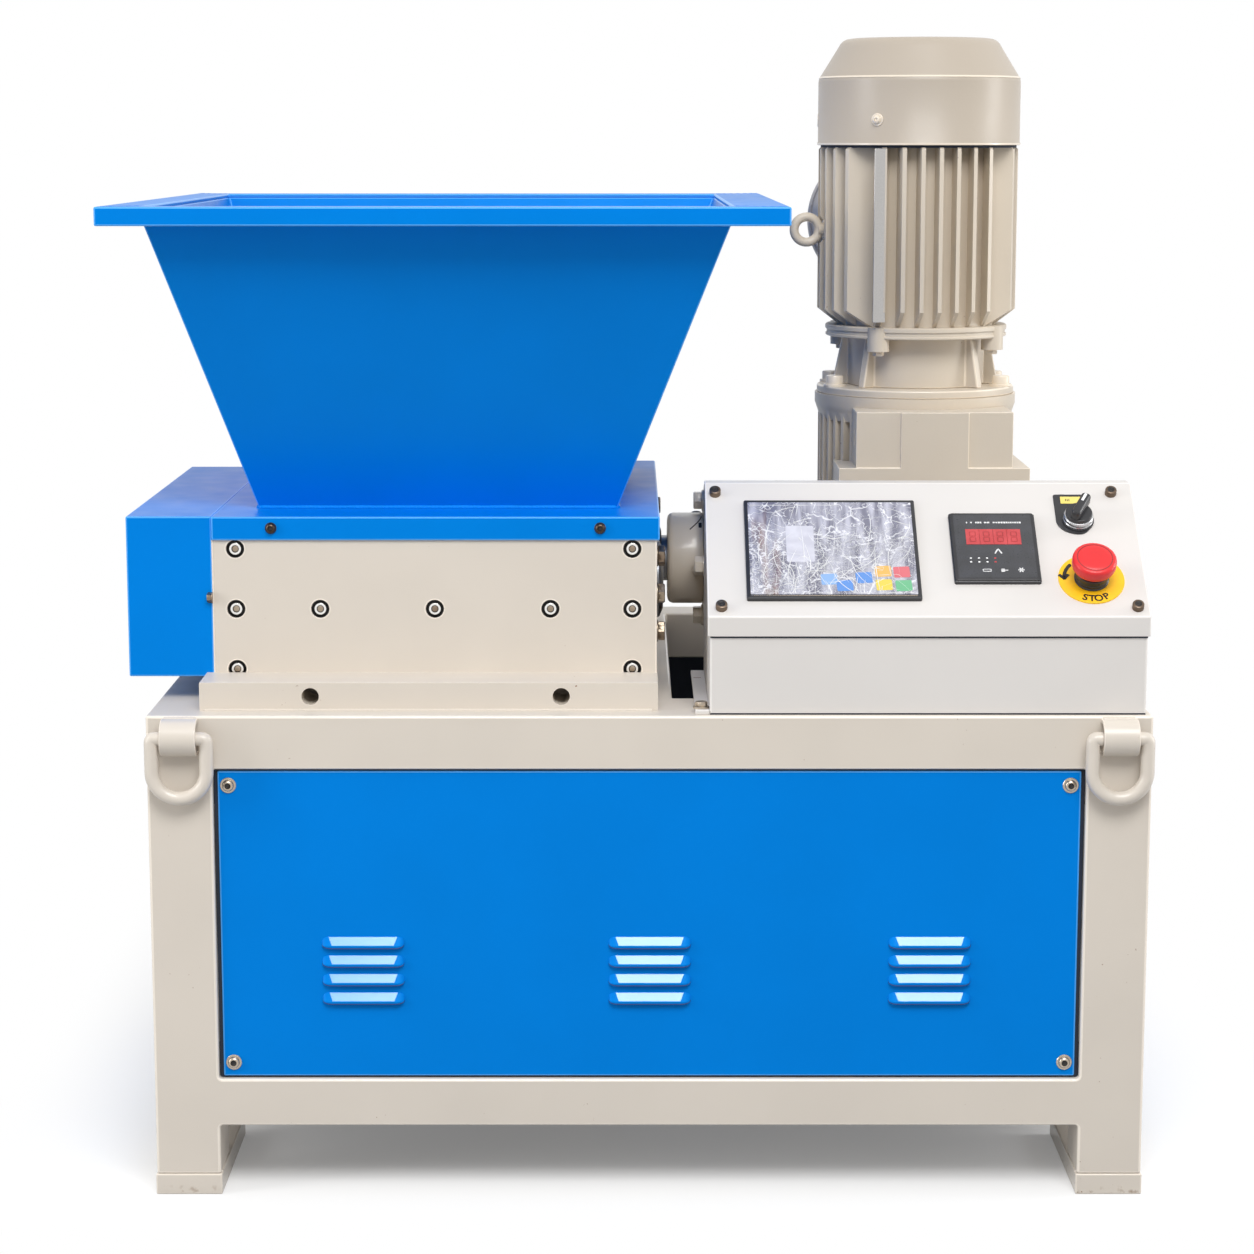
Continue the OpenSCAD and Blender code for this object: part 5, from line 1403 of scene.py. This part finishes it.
class SHREDDER_OT_selector(bpy.types.Operator):
    """Make the selector switch with its label plate"""

    bl_idname = "shredder.selector"
    bl_label = "Selector switch"

    def execute(self, context):
        lid = Lid()
        x, v = 348.0, 121.0
        # The label plate is half round below and square above, and its right side leans in.
        half, rise, plate = 17.5, 34.0, 1.5
        angle = np.radians(np.linspace(180, 360, 25))
        lower = np.stack([half * np.cos(angle), half * np.sin(angle)], -1)
        corner = np.radians(np.linspace(0, 90, 6))
        edge = 2.0
        right = np.stack([half - edge + edge * np.cos(corner), rise - edge + edge * np.sin(corner)], -1)
        left = np.stack([-half + edge - edge * np.sin(corner), rise - edge + edge * np.cos(corner)], -1)
        outline = np.concatenate([lower, right, left])
        side = 0.74 - 0.17 * np.clip(outline[:, 1], 0, None) / rise
        outline[:, 0] *= np.where(outline[:, 0] > 0, side, 1.16)
        rings = [np.insert(outline * s, 2, z, 1) for s, z in ((1, 0), (1, plate - 0.5), (0.98, plate))]
        ring = turned([
            (0, plate), (13.9, plate), (13.9, plate + 2.4), (13.5, plate + 3.0), (13.7, plate + 3.6),
            (13.7, plate + 6.4), (13.1, plate + 7.2), (12.5, plate + 7.4), (0, plate + 7)], 64)
        collar = turned([(0, plate - 0.1), (15.0, plate - 0.1), (14.8, plate + 1.0), (0, plate + 1.0)], 64)
        strip = pad(21, 9, 0.6, [(0, plate - 0.1), (0, plate + 0.15)])
        tick = pad(0.7, 2.8, 0.2, [(0, plate), (0, plate + 0.22)])
        skins = [(lid.put(skin(rings), x, v), 0), (lid.put(ring, x, v), 1), (lid.put(collar, x, v), 0),
                 (lid.put(strip, x - 3.4, v + 26), 2)]
        skins += [(lid.put(tick, x - 9 + i * 1.6, v + 26), 3) for i in range(3)]
        piece("selector_plate", skins, ["black ABS", "chrome plate", "pale label film", "printed black"],
              "frame", ["selector_base"])
        # The handle's disc runs through the ring, and the handle points 28 degrees to the right.
        seat = plate + 7.6
        disc = turned([(0, 1.8), (8, 1.8), (8, seat), *knob_profile(12.4, seat, seat + 3.4, 1.0)[1:]], 64)
        steps = [(2.4, seat), (0.6, seat + 2.5), (0, seat + 4), (0, seat + 10.5), (0.6, seat + 12.2),
                 (1.6, seat + 13)]
        handle = pad(9.2, 30, 3.4, steps)
        handle = (handle[0] + [0, 3.0, 0], handle[1])
        line = pad(2.6, 10, 0.6, [(0, seat + 12.6), (0, seat + 13.2)])
        line = (line[0] + [-0.6, 11.0, 0], line[1])
        skins = [(lid.put(disc, x, v), 0), (lid.put(handle, x, v, 0, -28), 0),
                 (lid.put(line, x, v, 0, -28), 1)]
        piece("selector_handle", skins, ["black ABS", "white print and painted crease highlight"], "selector",
              ["selector_knob"])
        return {"FINISHED"}


def letter_skins(word, height, thick):
    """Flat letters of a word, each centred on its own origin with its foot towards -Y."""
    shapes = []
    for letter in word:
        curve = bpy.data.curves.new("letter", "FONT")
        curve.body, curve.size, curve.extrude, curve.offset = letter, height * 1.4, thick / 2, 0.26
        thing = bpy.data.objects.new("letter", curve)
        bpy.context.scene.collection.objects.link(thing)
        graph = bpy.context.evaluated_depsgraph_get()
        mesh = bpy.data.meshes.new_from_object(thing.evaluated_get(graph))
        points = vertices_of(mesh).astype(float)
        points -= (points.min(0) + points.max(0)) / 2
        shapes.append((points, [list(face.vertices) for face in mesh.polygons]))
        bpy.data.objects.remove(thing)
        bpy.data.meshes.remove(mesh)
    return shapes


class SHREDDER_OT_stop(bpy.types.Operator):
    """Make the stop button with its collar and round label"""

    bl_idname = "shredder.stop"
    bl_label = "Stop button"

    def execute(self, context):
        lid = Lid()
        x, v = 353.0, 46.0
        label_r, label_t = 30.4, 1.5
        label = turned(knob_profile(label_r, 0, label_t, 0.4), 96)
        skins = [(lid.put(label, x, v), 0)]
        # The word follows the label's lower rim, and a curved arrow its left one.
        for letter, turn in zip(letter_skins("STOP", 7.4, 0.3), (-19.0, -4.8, 9.9, 28.2)):
            way = math.radians(turn)
            spot = (x + 24.4 * math.sin(way), v - 24.4 * math.cos(way))
            skins.append((lid.put(letter, *spot, label_t, turn), 1))
        turn_arrow = rod(arc((0, 0, 0), 25.0, 136, 174, 16, RIGHT, BACK), 2.0, 6)
        skins.append((lid.put(turn_arrow, x, v, label_t - 0.5), 1))
        barb = pad(3.0, 7.5, 0.4, [(0, 0), (0, 0.35)])
        barb = (barb[0] + [0, 3, 0], barb[1])
        for spin in (-38, 42):
            skins.append((lid.put(barb, x - 25.0, v, label_t, spin), 1))
        piece("stop_label_disc", skins, ["yellow label film", "printed black"], "frame",
              ["stop_label"])
        collar = turned([
            (0, label_t), (16.0, label_t), (16.0, label_t + 1), (15.1, label_t + 1.6), (15.1, label_t + 4),
            (14.6, label_t + 4.4), (14.6, label_t + 5), (15.1, label_t + 5.4), (15.1, label_t + 9.4),
            (14.4, label_t + 10), (0, label_t + 10)], 64)
        piece("stop_collar_ring", [lid.put(collar, x, v)], ["black ABS"], "frame",
              ["stop_collar"])
        # The mushroom: a stem through the collar, a rounded head and a fine groove round its top.
        seat, head = label_t + 15.5, 20.3
        button = turned([
            (0, label_t + 5.4), (8, label_t + 5.4), (8, seat), (head - 2.6, seat), (head - 1.2, seat + 0.6),
            (head - 0.5, seat + 1.8), (head, seat + 4), (head, seat + 9.4), (head - 0.5, seat + 11.2),
            (head - 1.8, seat + 12.4), (head - 3.4, seat + 12.8), (16.3, seat + 12.8), (15.9, seat + 12.5),
            (15.5, seat + 12.8), (12, seat + 13.3), (0, seat + 13.5)], 96)
        # The groove is a ring of darker red: painted shade.
        groove = hoop([(15.5, seat + 12.5), (16.5, seat + 12.5), (16.5, seat + 12.9), (15.5, seat + 12.9)])
        piece("stop_mushroom", [(lid.put(button, x, v), 0), (lid.put(groove, x, v), 1)],
              ["red polyamide", "dark red print and painted groove shade"], "stop", ["stop_button"], 50)
        return {"FINISHED"}


class SHREDDER_OT_stage(bpy.types.Operator):
    """Make the floor, the lamps, the sky and the camera"""

    bl_idname = "shredder.stage"
    bl_label = "Floor, light and camera"

    def execute(self, context):
        settings = context.scene.shredder_stage
        mesh = bpy.data.meshes.new("floor")
        edge = 40.0
        mesh.from_pydata(
            [(-edge, -edge, 0), (edge, -edge, 0), (edge, edge, 0), (-edge, edge, 0)], [], [(0, 1, 2, 3)])
        mesh.materials.append(finish("studio floor"))
        floor = bpy.data.objects.new("studio_floor", mesh)
        context.scene.collection.objects.link(floor)
        lamps = [
            ("key", settings.key, (0.45, -3.1, 3.7), (0, 0, 0.6), 2.4, 1.8),
            ("strip_left", settings.side, (-2.9, -1.2, 1.4), (0.1, 0, 0.7), 0.8, 2.2),
            ("strip_right", settings.side, (3.0, 0.0, 1.4), (0.1, 0, 0.7), 0.6, 2.2),
        ]
        for name, power, at, target, wide, tall in lamps:
            light = bpy.data.lights.new(name, "AREA")
            light.energy, light.shape, light.size, light.size_y = power, "RECTANGLE", wide, tall
            lamp = bpy.data.objects.new(name, light)
            lamp.location = at
            x, y, z = np.array(target) - np.array(at)
            tilt, heading = math.atan2(math.hypot(x, y), -z), math.atan2(y, x) - math.pi / 2
            lamp.rotation_euler = (tilt, 0, heading)
            context.scene.collection.objects.link(lamp)
        self.sky(context, settings.sky, settings.horizon)
        camera = bpy.data.objects.new("camera", bpy.data.cameras.new("camera"))
        camera.data.lens, camera.data.sensor_width = 86.12, 36
        camera.data.clip_end = 200
        camera.location = (-0.0205, -3.0117, 0.9762)
        camera.rotation_euler = (math.radians(80.742), 0, 0)
        context.scene.collection.objects.link(camera)
        context.scene.camera = camera
        context.scene.view_settings.view_transform = "Standard"
        return {"FINISHED"}

    def sky(self, context, top, horizon):
        """A soft sky, brighter above than at the sides, that the camera, gloss and glass see as white."""
        world = bpy.data.worlds.new("sky")
        context.scene.world = world
        world.use_nodes = True
        tree = world.node_tree
        seen = add(tree, "LightPath", {}, "Is Camera Ray")
        for ray in ("Is Glossy Ray", "Is Transmission Ray"):
            other = add(tree, "LightPath", {}, ray)
            seen = add(tree, "Math", {0: seen, 1: other}, operation="MAXIMUM")
        way = add(tree, "TexCoord", {}, "Generated")
        height = add(tree, "SeparateXYZ", {0: way}, 2)
        soft = add(tree, "MapRange", {0: height, 1: 0.0, 2: 0.9, 3: horizon, 4: top})
        light = add(tree, "Mix", {0: seen, 2: soft, 3: 1.0})
        join(tree, tree.nodes["Background"], {"Color": (1, 1, 1, 1), "Strength": light})


PIECES = (
    SHREDDER_OT_finishes, SHREDDER_OT_frame, SHREDDER_OT_panels, SHREDDER_OT_rings,
    SHREDDER_OT_chamber, SHREDDER_OT_hopper, SHREDDER_OT_rotors, SHREDDER_OT_gearbox,
    SHREDDER_OT_motor, SHREDDER_OT_control_box, SHREDDER_OT_screen, SHREDDER_OT_meter,
    SHREDDER_OT_selector, SHREDDER_OT_stop, SHREDDER_OT_stage,
)


class SHREDDER_PT_panel(bpy.types.Panel):
    """Lists the sizes, the colours and the pieces of the shredder"""

    bl_idname = "SHREDDER_PT_panel"
    bl_label = "Double shaft shredder"
    bl_space_type = "VIEW_3D"
    bl_region_type = "UI"
    bl_category = "Shredder"

    def draw(self, context):
        for group in ("shredder_sizes", "shredder_colours", "shredder_stage"):
            settings = getattr(context.scene, group)
            box = self.layout.box()
            for name in settings.bl_rna.properties.keys():
                if name not in ("rna_type", "name"):
                    box.prop(settings, name)
        for operator in PIECES:
            self.layout.operator(operator.bl_idname)


GROUPS = (
    ("shredder_sizes", ShredderSizes), ("shredder_colours", ShredderColours),
    ("shredder_stage", ShredderStage),
)


def register():
    for name, group in GROUPS:
        bpy.utils.register_class(group)
        setattr(bpy.types.Scene, name, bpy.props.PointerProperty(type=group))
    for item in PIECES + (SHREDDER_PT_panel,):
        bpy.utils.register_class(item)


def unregister():
    for item in reversed(PIECES + (SHREDDER_PT_panel,)):
        bpy.utils.unregister_class(item)
    for name, group in reversed(GROUPS):
        delattr(bpy.types.Scene, name)
        bpy.utils.unregister_class(group)


def main():
    register()
    for operator in PIECES:
        getattr(bpy.ops.shredder, operator.bl_idname.split(".")[1])()


if __name__ == "__main__":
    main()
